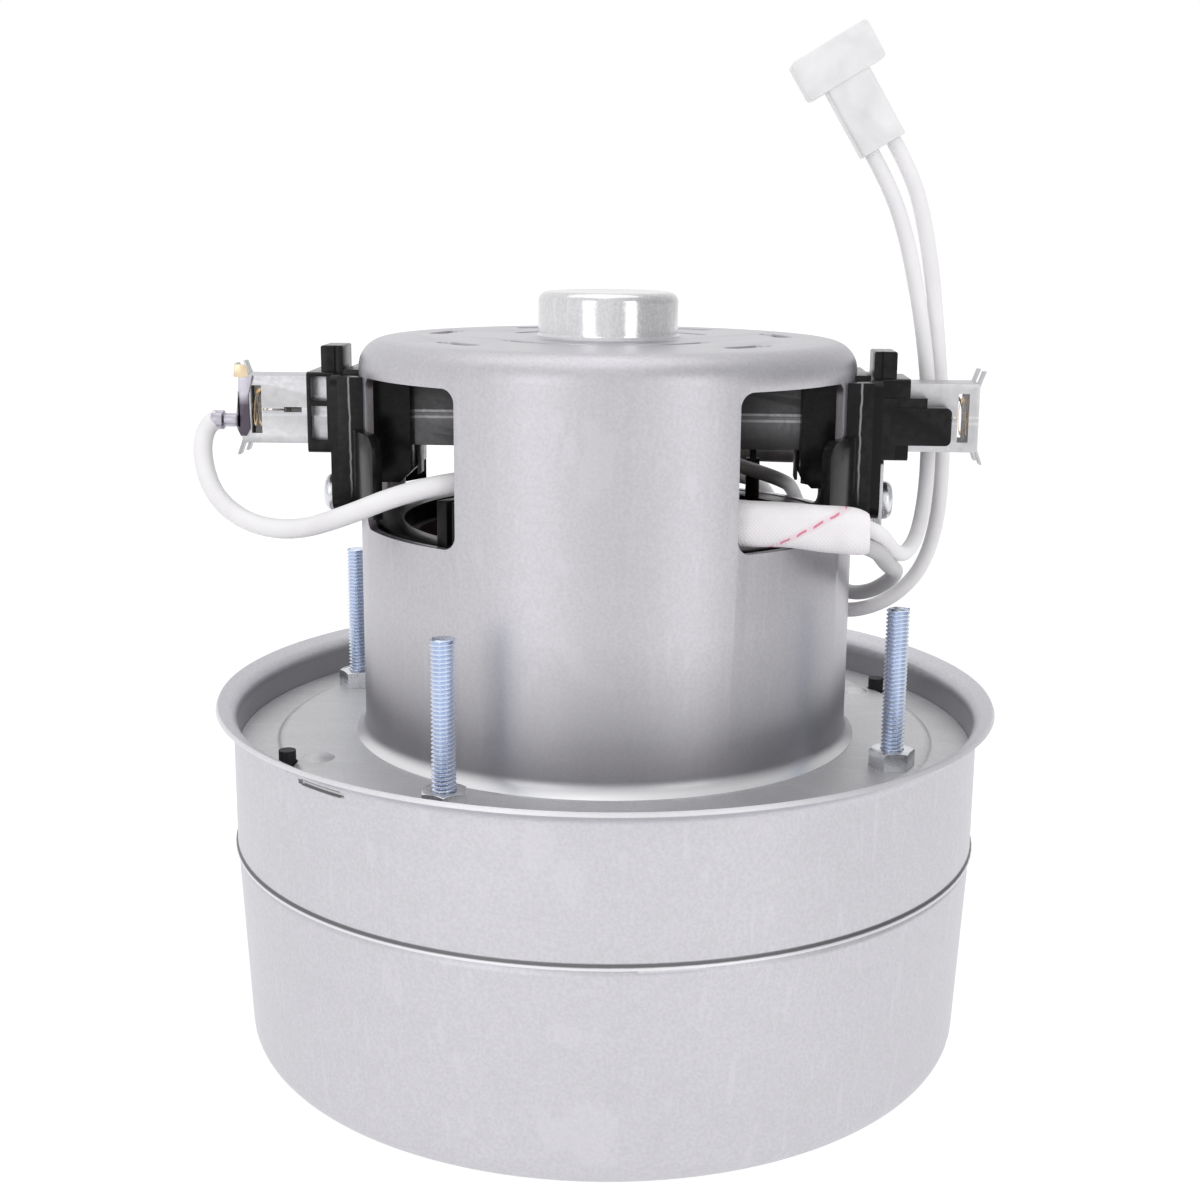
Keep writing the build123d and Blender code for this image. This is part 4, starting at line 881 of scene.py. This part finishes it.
def stand_in(node_name, bm, finishes, sharp_above=35.0):
    """Shows a bmesh in place of a CAD node, riding on the same body."""
    mesh = close_up(bm, node_name + "_shape", sharp_above)
    for finish in finishes:
        mesh.materials.append(FINISHES[finish])
    piece = bpy.data.objects.new(node_name + "_shown", mesh)
    bpy.context.scene.collection.objects.link(piece)
    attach(piece, frame["nodes"][node_name]["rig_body"])
    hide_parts(node_name)
    return piece


def replace_refined(node_name, finish, width, segments=2, above=35.0):
    """Shows a rounded copy in place of a CAD node."""
    return stand_in(node_name, refined(node_name, width, segments, above), [finish])


def dress(node_name, finish):
    """Gives a carried-over CAD node its material."""
    for slot in frame["nodes"][node_name].material_slots:
        slot.material = FINISHES[finish]


# Leads
def make_lead(name, route, diameter, finish):
    """A lead as one smooth round cord along its route."""
    data = bpy.data.curves.new(name, "CURVE")
    data.dimensions = "3D"
    data.bevel_depth = diameter / 2
    data.bevel_resolution = sizes().lead_sides
    data.use_fill_caps = True
    spline = data.splines.new("NURBS")
    spline.points.add(len(route) - 1)
    for point, place in zip(spline.points, route):
        point.co = (*place, 1.0)
    spline.order_u = 3
    spline.use_endpoint_u = True
    spline.resolution_u = 10
    piece = bpy.data.objects.new(name, data)
    bpy.context.scene.collection.objects.link(piece)
    data.materials.append(FINISHES[finish])
    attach(piece, "housing")
    return piece


class OBJECT_OT_motor_unit_leads(bpy.types.Operator):
    """Lays the four free leads and the short inner one along their routes"""

    bl_idname = "object.motor_unit_leads"
    bl_label = "Leads"

    def execute(self, context):
        for node, route, diameter, finish, end in LEADS:
            piece = make_lead(node + "_cord", route, diameter, finish)
            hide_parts(node)
        short = make_lead("inner_jumper_cord", INNER_JUMPER_ROUTE, INNER_JUMPER_DIAMETER, "lead_grey")
        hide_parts("inner_jumper")
        return {"FINISHED"}


class OBJECT_OT_motor_unit_plug(bpy.types.Operator):
    """Rounds the plug's mouldings and finishes its contacts"""

    bl_idname = "object.motor_unit_plug"
    bl_label = "Plug"

    def execute(self, context):
        replace_refined("plug_housing", "plug_plastic", 0.00035, 3)
        dress("plug_contacts", "terminal_brass")
        return {"FINISHED"}


class OBJECT_OT_motor_unit_housing(bpy.types.Operator):
    """Finishes the fan cover, its band, the plate under the motor and the motor can"""

    bl_idname = "object.motor_unit_housing"
    bl_label = "Housing and can"

    def execute(self, context):
        dress("fan_cover", "steel_sheet")
        dress("housing_band", "steel_sheet")
        dress("motor_bracket", "plate_sheet")
        bm = refined("motor_can", 0.00022, above=50.0)
        for face in bm.faces:
            middle = face.calc_center_median()
            if middle.z > BOSS_FLOOR and math.hypot(middle.x, middle.y) < BOSS_RADIUS:
                face.material_index = 1
        stand_in("motor_can", bm, ["can_sheet", "boss_polish"], 40.0)
        return {"FINISHED"}


class OBJECT_OT_motor_unit_studs(bpy.types.Operator):
    """Cuts the threads of the four studs, and rounds their nuts"""

    bl_idname = "object.motor_unit_studs"
    bl_label = "Studs and nuts"

    def execute(self, context):
        low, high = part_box("mounting_studs")
        head_top = low.z + STUD_HEAD_HEIGHT
        whole = bmesh.new()
        for index in range(4):
            turn = math.radians(STUD_TURN + 90 * index)
            place = Matrix.Translation((STUD_CIRCLE * math.sin(turn), -STUD_CIRCLE * math.cos(turn), 0.0))
            rod = threaded_rod(STUD_RADIUS, head_top - 0.0002, high.z)
            head = bmesh.new()
            bmesh.ops.create_cone(head, cap_ends=True, segments=40, radius1=STUD_HEAD_RADIUS,
                                  radius2=STUD_HEAD_RADIUS, depth=STUD_HEAD_HEIGHT)
            bmesh.ops.translate(head, verts=head.verts, vec=(0, 0, low.z + STUD_HEAD_HEIGHT / 2))
            round_edges(head, 0.0004, 3)
            for part in (rod, head):
                bmesh.ops.transform(part, matrix=place, verts=part.verts)
                add_to(whole, part)
        stand_in("mounting_studs", whole, ["zinc_fasteners"], 50.0)
        replace_refined("stud_nuts", "nut_zinc", 0.0006, 3, 28.0)
        return {"FINISHED"}


def add_to(whole, part):
    """Copies one bmesh into another and frees it."""
    mesh = bpy.data.meshes.new("part")
    part.to_mesh(mesh)
    part.free()
    whole.from_mesh(mesh)
    bpy.data.meshes.remove(mesh)


def threaded_rod(radius, low, high):
    """A rod whose thread is one profile turned and lifted about its axis, cut flat at both ends."""
    pitch, depth = sizes().thread_pitch, sizes().thread_depth
    crest = pitch * 0.16
    steps = 28
    turns = math.ceil((high - low) / pitch) + 2
    bm = bmesh.new()
    root = radius - depth
    profile = ((root, 0.0), (radius, (pitch - crest) / 2), (radius, (pitch + crest) / 2), (root, pitch))
    points = [bm.verts.new((across, 0.0, low - 1.5 * pitch + rise)) for across, rise in profile]
    edges = [bm.edges.new(pair) for pair in zip(points, points[1:])]
    bmesh.ops.spin(bm, geom=[*points, *edges], cent=(0, 0, 0), axis=(0, 0, 1), dvec=(0, 0, pitch / steps),
                   angle=2 * math.pi * turns, steps=steps * turns, use_merge=False)
    bmesh.ops.remove_doubles(bm, verts=bm.verts, dist=5e-6)
    for height, up in ((low, False), (high, True)):
        geometry = [*bm.verts, *bm.edges, *bm.faces]
        bmesh.ops.bisect_plane(bm, geom=geometry, dist=1e-7, plane_co=(0, 0, height), plane_no=(0, 0, 1),
                               clear_outer=up, clear_inner=not up)
        rim = [edge for edge in bm.edges if edge.is_boundary
               and all(abs(vert.co.z - height) < 1e-6 for vert in edge.verts)]
        bmesh.ops.edgeloop_fill(bm, edges=rim)
    cap = [face for face in bm.faces if abs(face.normal.z) > 0.99
           and abs(face.calc_center_median().z - high) < 1e-6]
    bmesh.ops.recalc_face_normals(bm, faces=bm.faces)
    bmesh.ops.inset_region(bm, faces=cap, thickness=CHAMFER_WIDTH, depth=0.0)
    ring = {vert for face in cap for vert in face.verts}
    for edge in {edge for vert in ring for edge in vert.link_edges}:
        for vert in edge.verts:
            if vert not in ring and abs(vert.co.z - high) < 1e-6:
                vert.co.z -= CHAMFER_DROP
    return bm


class OBJECT_OT_motor_unit_brush_gear(bpy.types.Operator):
    """Rounds the brush holders, tubes, strips and screws, and finishes the brushes"""

    bl_idname = "object.motor_unit_brush_gear"
    bl_label = "Brush gear"

    def execute(self, context):
        for side in ("right", "left"):
            replace_refined(side + "_brush_holder", "black_plastic",
                            sizes().moulding_round, 3)
            replace_refined(side + "_brush_tube", "tube_steel", sizes().sheet_round)
            strip = refined(side + "_clamp_strip", sizes().sheet_round)
            for vert in strip.verts:
                past = abs(vert.co.x) - STRIP_INNER_FACE
                vert.co.x = math.copysign(STRIP_INNER_FACE + past * STRIP_GROWTH, vert.co.x)
            stand_in(side + "_clamp_strip", strip, ["strip_steel"])
            dress(side + "_brush", "carbon")
        screws = refined("clamp_screws", 0.00012)
        widen_heads(screws)
        stand_in("clamp_screws", screws, ["nut_zinc"])
        return {"FINISHED"}


def widen_heads(bm):
    """Widens the clamp screws' heads about the screws' own line, and sets them on the thicker strips."""
    seat = STRIP_INNER_FACE + STRIP_SHEET
    raised = STRIP_SHEET * (STRIP_GROWTH - 1.0)
    for vert in bm.verts:
        past = abs(vert.co.x) - seat
        side = math.hypot(vert.co.y, vert.co.z - SCREW_HEIGHT)
        if past > -0.00005 and (past > 0.0004 or side > SCREW_SHANK):
            vert.co.x = math.copysign(seat + raised + max(past, 0.0) * HEAD_RISE, vert.co.x)
            vert.co.y *= HEAD_GROWTH
            vert.co.z = SCREW_HEIGHT + (vert.co.z - SCREW_HEIGHT) * HEAD_GROWTH


class OBJECT_OT_motor_unit_springs(bpy.types.Operator):
    """Winds the two brush springs"""

    bl_idname = "object.motor_unit_springs"
    bl_label = "Brush springs"

    def execute(self, context):
        for side, sign in (("right", 1), ("left", -1)):
            low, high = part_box(side + "_brush_spring")
            near_end, far_end = (low.x, high.x) if sign > 0 else (high.x, low.x)
            inset = sign * SPRING_WIRE
            bm = wound_spring(near_end + inset, far_end - inset, (low.z + high.z) / 2)
            piece = stand_in(side + "_brush_spring", bm, ["spring_brass"], 60.0)
            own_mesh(piece)
        return {"FINISHED"}


def wound_spring(start, end, height):
    """A coil along X: its wire's section is turned about the axis and moved along it."""
    steps = 32
    bm = bmesh.new()
    bmesh.ops.create_circle(bm, cap_ends=False, segments=10, radius=SPRING_WIRE)
    for axis in "XZX":
        turned = Matrix.Rotation(math.radians(90), 3, axis)
        bmesh.ops.rotate(bm, verts=bm.verts, cent=(0, 0, 0), matrix=turned)
    bmesh.ops.translate(bm, verts=bm.verts, vec=(start, SPRING_RADIUS, 0))
    section = [*bm.verts, *bm.edges]
    first = list(bm.edges)
    # Most turns are open, then two lie close together in the tube's slot, and the tail reaches the end
    reach = end - start
    for part, share in ((SPRING_TURNS - 2.25, 0.895), (1.75, 0.055), (0.5, 0.05)):
        count = round(steps * part)
        made = bmesh.ops.spin(bm, geom=section, cent=(0, 0, 0), axis=(1, 0, 0),
                              dvec=(reach * share / count, 0, 0), angle=2 * math.pi * part,
                              steps=count, use_merge=False)
        section = made["geom_last"]
    last = [item for item in section if isinstance(item, bmesh.types.BMEdge)]
    bmesh.ops.edgeloop_fill(bm, edges=[edge for edge in first if edge.is_boundary])
    bmesh.ops.edgeloop_fill(bm, edges=last)
    bmesh.ops.remove_doubles(bm, verts=bm.verts, dist=1e-7)
    bmesh.ops.recalc_face_normals(bm, faces=bm.faces)
    # The end turns are wound wider, so that they hold in the tube's mouth
    for vert in bm.verts:
        closeness = max(0.0, 1.0 - abs(vert.co.x - end) / 0.0032)
        wider = 1.0 + 0.05 * min(1.0, 2.0 * closeness)
        vert.co.y *= wider
        vert.co.z *= wider
    bmesh.ops.translate(bm, verts=bm.verts, vec=(0, 0, height))
    return bm


class OBJECT_OT_motor_unit_terminal(bpy.types.Operator):
    """Cuts the brush terminal's flag, plate and ear from sheet, and rolls its two crimps round the lead"""

    bl_idname = "object.motor_unit_terminal"
    bl_label = "Brush terminal"

    def execute(self, context):
        bm = bmesh.new()
        add_to(bm, sheet_piece(TERMINAL_FLAG, TERMINAL_NEAR, TERMINAL_FAR, 1))
        add_to(bm, sheet_piece(TERMINAL_PLATE, -TERMINAL_REACH, TERMINAL_REACH, 1))
        add_to(bm, sheet_piece(TERMINAL_BEND, TERMINAL_NEAR, -TERMINAL_REACH, 1))
        add_to(bm, sheet_piece(TERMINAL_EAR, TERMINAL_NEAR - 0.0001, TERMINAL_FAR, 0))
        for start, end, radius in CRIMPS:
            add_to(bm, crimp(start, end, radius))
        stand_in("brush_terminal", bm, ["terminal_brass", "terminal_tin"])
        return {"FINISHED"}


def sheet_piece(outline, near, far, finish):
    """A piece of sheet with its outline in X and Z, between two faces in Y."""
    bm = bmesh.new()
    face = bm.faces.new([bm.verts.new((x, near, z)) for x, z in outline])
    grown = bmesh.ops.extrude_face_region(bm, geom=[face])["geom"]
    bmesh.ops.translate(bm, verts=[item for item in grown if isinstance(item, bmesh.types.BMVert)],
                        vec=(0, far - near, 0))
    bmesh.ops.recalc_face_normals(bm, faces=bm.faces)
    round_edges(bm, 0.0001, 2)
    for face in bm.faces:
        face.material_index = finish
    return bm


def crimp(start, end, radius):
    """A barrel rolled shut round the lead, with the furrow where its two wings meet."""
    bm = bmesh.new()
    bmesh.ops.create_cone(bm, cap_ends=True, segments=36, radius1=radius, radius2=radius,
                          depth=abs(end - start))
    turned = Matrix.Rotation(math.radians(90), 3, "Y")
    bmesh.ops.rotate(bm, verts=bm.verts, cent=(0, 0, 0), matrix=turned)
    round_edges(bm, 0.00015, 2)
    for vert in bm.verts:
        turn = abs(math.atan2(vert.co.y + 0.25 * radius, vert.co.z))
        if turn < 0.40:
            vert.co.z -= 0.22 * radius * math.cos(turn / 0.40 * math.pi / 2)
        vert.co.z *= 0.92
    bmesh.ops.translate(bm, verts=bm.verts, vec=((start + end) / 2, *JUMPER_ROUTE[0][1:]))
    for face in bm.faces:
        face.material_index = 1
    return bm


class OBJECT_OT_motor_unit_sleeve(bpy.types.Operator):
    """Makes the flattened woven sleeve, which closes and droops a little at its right end"""

    bl_idname = "object.motor_unit_sleeve"
    bl_label = "Woven sleeve"

    def execute(self, context):
        low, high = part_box("protector_sleeve")
        cloth = woven_tube(low, high)
        piece = stand_in("protector_sleeve", cloth, ["woven_sleeve"], 60.0)
        smooth = piece.modifiers.new("Soft", "SUBSURF")
        smooth.levels = smooth.render_levels = 1
        dress("thermal_protector", "frame_plastic")
        return {"FINISHED"}


def woven_tube(low, high):
    """A soft flattened tube along X, with dents where the cloth folds over the protector."""
    middle = (low + high) / 2
    half_depth, half_height = (high.y - low.y) / 2, (high.z - low.z) / 2
    bm = bmesh.new()
    bmesh.ops.create_circle(bm, cap_ends=False, segments=40, radius=1.0)
    for vert in bm.verts:
        angle = math.atan2(vert.co.y, vert.co.x)
        across, up = math.cos(angle), math.sin(angle)
        square = (abs(across) ** SLEEVE_SQUARE + abs(up) ** SLEEVE_SQUARE) ** (-1 / SLEEVE_SQUARE)
        vert.co = (low.x, middle.y + across * square * (half_depth - SLEEVE_WALL / 2),
                   middle.z + up * square * (half_height - SLEEVE_WALL / 2))
    steps = 26
    edges = list(bm.edges)
    for _ in range(steps):
        grown = bmesh.ops.extrude_edge_only(bm, edges=edges)["geom"]
        moved = [item for item in grown if isinstance(item, bmesh.types.BMVert)]
        bmesh.ops.translate(bm, verts=moved, vec=((high.x - low.x) / steps, 0, 0))
        edges = [item for item in grown if isinstance(item, bmesh.types.BMEdge)]
    for vert in bm.verts:
        along = (vert.co.x - low.x) / (high.x - low.x)
        side = Vector((0, vert.co.y - middle.y, vert.co.z - middle.z))
        angle = math.atan2(side.z, side.y)
        fold = 0.5 + 0.5 * math.sin(9.0 * along + 2.0 * angle + 0.6)
        dent = 0.5 + 0.5 * math.sin(17.0 * along - 3.0 * angle)
        closing = max(0.0, (along - 0.90) / 0.10)
        depth = SLEEVE_FOLD * fold + SLEEVE_DENT * dent + SLEEVE_CLOSING * closing ** 2
        vert.co -= side.normalized() * depth
        vert.co.z -= SLEEVE_DROOP * max(0.0, (along - 0.35) / 0.65) ** 1.4
    bmesh.ops.recalc_face_normals(bm, faces=bm.faces)
    bmesh.ops.solidify(bm, geom=bm.faces[:], thickness=SLEEVE_WALL)
    bmesh.ops.recalc_face_normals(bm, faces=bm.faces)
    return bm


class OBJECT_OT_motor_unit_inside(bpy.types.Operator):
    """Finishes the stator, rotor, bearings, fans and guides inside the housing"""

    bl_idname = "object.motor_unit_inside"
    bl_label = "Inner parts"

    def execute(self, context):
        replace_refined("upper_end_frame", "frame_plastic", 0.00025)
        for finish, nodes in (
            ("laminations", ("stator_core", "armature_core")),
            ("winding_copper", ("front_field_coil", "rear_field_coil", "armature_winding")),
            ("frame_plastic", ("lower_end_frame",)),
            ("commutator_copper", ("commutator_bars",)),
            ("commutator_moulding", ("commutator_hub",)),
            ("bearing_steel", ("top_bearing_inner_ring", "top_bearing_outer_ring", "top_ball_cage",
                               "bottom_bearing_inner_ring", "bottom_bearing_outer_ring",
                               "bottom_ball_cage")),
            ("shaft_steel", ("shaft", "bearing_wave_washer", "impeller_washers", "impeller_spacers")),
            ("fan_aluminium", ("first_impeller", "second_impeller", "stage_divider")),
            ("nut_zinc", ("shaft_nut",)),
            ("guide_plastic", ("diffuser",)),
        ):
            for node in nodes:
                dress(node, finish)
        return {"FINISHED"}


class OBJECT_OT_motor_unit_stage(bpy.types.Operator):
    """Sets the camera, the pale floor, the even room light and the softboxes"""

    bl_idname = "object.motor_unit_stage"
    bl_label = "Stage"

    def execute(self, context):
        scene = context.scene
        settings = scene.motor_unit_stage
        scene.view_settings.view_transform = "Standard"
        set_camera(scene)
        set_room(scene, settings)
        floor = set_floor(tuple(settings.floor_colour))
        set_softbox("Left softbox", (-0.55, -1.0, 0.40), 0.40, 0.80, settings.left_power)
        set_softbox("Right softbox", (0.80, -0.95, 0.40), 0.40, 0.80, settings.right_power)
        set_softbox("Top softbox", (-0.1, 0.10, 1.20), 1.1, 1.1, settings.top_power)
        return {"FINISHED"}


def set_camera(scene):
    """Places the camera as the photograph was taken."""
    data = bpy.data.cameras.new("Camera")
    data.lens = CAMERA_LENS
    data.sensor_width = SENSOR_WIDTH
    data.clip_start = 0.01
    camera = bpy.data.objects.new("Camera", data)
    scene.collection.objects.link(camera)
    level = math.cos(CAMERA_DROP)
    forward = Vector((-math.sin(CAMERA_TURN) * level, math.cos(CAMERA_TURN) * level,
                      -math.sin(CAMERA_DROP)))
    right = Vector((math.cos(CAMERA_TURN), math.sin(CAMERA_TURN), 0.0))
    up = right.cross(forward)
    across = math.cos(CAMERA_ROLL) * right + math.sin(CAMERA_ROLL) * up
    over = -math.sin(CAMERA_ROLL) * right + math.cos(CAMERA_ROLL) * up
    turned = Matrix((across, over, -forward)).transposed().to_4x4()
    camera.matrix_world = Matrix.Translation(CAMERA_PLACE) @ turned
    scene.camera = camera


def seen_share(tree, *kinds):
    """1 for the kinds of ray that see a surface, and 0 for those that only gather light from it."""
    rays = put(tree, "ShaderNodeLightPath").outputs
    found = rays[kinds[0]]
    for kind in kinds[1:]:
        found = greater(found, rays[kind])
    return found


def set_room(scene, settings):
    """Even light from all round: white walls, which metal shows under a greyer ceiling."""
    world = bpy.data.worlds.new("Room")
    scene.world = world
    world.use_nodes = True
    tree = world.node_tree
    tree.nodes.clear()
    heading = put(tree, "ShaderNodeTexCoord").outputs["Generated"]
    parts = axes(heading)
    above = spread(parts["Z"], 0.20, 0.80, 1.0, settings.ceiling)
    aside = spread(parts["X"], 0.10, 0.95, 1.0, settings.right_wall)
    brighter = minus(times(above, aside), settings.room_light)
    in_metal = seen_share(tree, "Is Glossy Ray")
    behind = seen_share(tree, "Is Camera Ray", "Is Transmission Ray")
    level = greater(plus(times(in_metal, brighter), settings.room_light), behind)
    back = put(tree, "ShaderNodeBackground", (), {"Color": (1.0, 1.0, 1.0, 1.0), "Strength": level})
    end = put(tree, "ShaderNodeOutputWorld")
    tree.links.new(back.outputs[0], end.inputs["Surface"])


def set_floor(colour):
    """A wide pale floor that keeps a faint shadow."""
    bm = bmesh.new()
    bmesh.ops.create_circle(bm, cap_ends=True, segments=96, radius=FLOOR_RADIUS)
    bmesh.ops.translate(bm, verts=bm.verts, vec=(0, 0, -FLOOR_DROP))
    mesh = bpy.data.meshes.new("floor_shape")
    bm.to_mesh(mesh)
    bm.free()
    material = bpy.data.materials.new("floor")
    material.use_nodes = True
    tree = material.node_tree
    tree.nodes.clear()
    plain = put(tree, "ShaderNodeBsdfDiffuse", (), {"Color": (*colour, 1.0)})
    glow = put(tree, "ShaderNodeEmission", (), {"Color": (1.0, 1.0, 1.0, 1.0), "Strength": FLOOR_GLOW})
    seen = seen_share(tree, "Is Camera Ray", "Is Glossy Ray", "Is Transmission Ray")
    share = times(seen, FLOOR_GLOW_SHARE)
    both = put(tree, "ShaderNodeMixShader", (), {0: share, 1: plain.outputs[0], 2: glow.outputs[0]})
    end = put(tree, "ShaderNodeOutputMaterial")
    tree.links.new(both.outputs[0], end.inputs["Surface"])
    mesh.materials.append(material)
    floor = bpy.data.objects.new("floor", mesh)
    bpy.context.scene.collection.objects.link(floor)
    return floor


def set_softbox(name, place, width, height, power):
    """An oblong lamp that faces the part."""
    data = bpy.data.lights.new(name, "AREA")
    data.shape = "RECTANGLE"
    data.size = width
    data.size_y = height
    data.energy = power
    lamp = bpy.data.objects.new(name, data)
    bpy.context.scene.collection.objects.link(lamp)
    lamp.location = place
    lamp.rotation_euler = (Vector(SOFTBOX_AIM) - Vector(place)).to_track_quat("-Z", "Y").to_euler()


class VIEW3D_PT_motor_unit(bpy.types.Panel):
    """Lists the settings and the steps of the motor unit"""

    bl_label = "Motor unit"
    bl_space_type = "VIEW_3D"
    bl_region_type = "UI"
    bl_category = "Motor unit"

    def draw(self, context):
        for title, group in (("Sizes", context.scene.motor_unit_sizes),
                             ("Colours", context.scene.motor_unit_colours),
                             ("Stage", context.scene.motor_unit_stage)):
            box = self.layout.box()
            box.label(text=title)
            for name in group.bl_rna.properties.keys():
                if name not in ("rna_type", "name"):
                    box.prop(group, name)
        for step in STEPS:
            self.layout.operator(step.bl_idname)


STEPS = (
    OBJECT_OT_motor_unit_stage,
    OBJECT_OT_motor_unit_plug,
    OBJECT_OT_motor_unit_leads,
    OBJECT_OT_motor_unit_housing,
    OBJECT_OT_motor_unit_studs,
    OBJECT_OT_motor_unit_brush_gear,
    OBJECT_OT_motor_unit_springs,
    OBJECT_OT_motor_unit_terminal,
    OBJECT_OT_motor_unit_sleeve,
    OBJECT_OT_motor_unit_inside,
)
CLASSES = (MotorUnitSizes, MotorUnitColours, MotorUnitStage, *STEPS, VIEW3D_PT_motor_unit)


def register():
    for kind in CLASSES:
        bpy.utils.register_class(kind)
    bpy.types.Scene.motor_unit_sizes = bpy.props.PointerProperty(type=MotorUnitSizes)
    bpy.types.Scene.motor_unit_colours = bpy.props.PointerProperty(type=MotorUnitColours)
    bpy.types.Scene.motor_unit_stage = bpy.props.PointerProperty(type=MotorUnitStage)


def unregister():
    del bpy.types.Scene.motor_unit_stage
    del bpy.types.Scene.motor_unit_colours
    del bpy.types.Scene.motor_unit_sizes
    for kind in reversed(CLASSES):
        bpy.utils.unregister_class(kind)


def main():
    register()
    make_finishes()
    bpy.ops.object.motor_unit_stage()
    bpy.ops.object.motor_unit_plug()
    bpy.ops.object.motor_unit_leads()
    bpy.ops.object.motor_unit_housing()
    bpy.ops.object.motor_unit_studs()
    bpy.ops.object.motor_unit_brush_gear()
    bpy.ops.object.motor_unit_springs()
    bpy.ops.object.motor_unit_terminal()
    bpy.ops.object.motor_unit_sleeve()
    bpy.ops.object.motor_unit_inside()


if __name__ == "__main__":
    main()
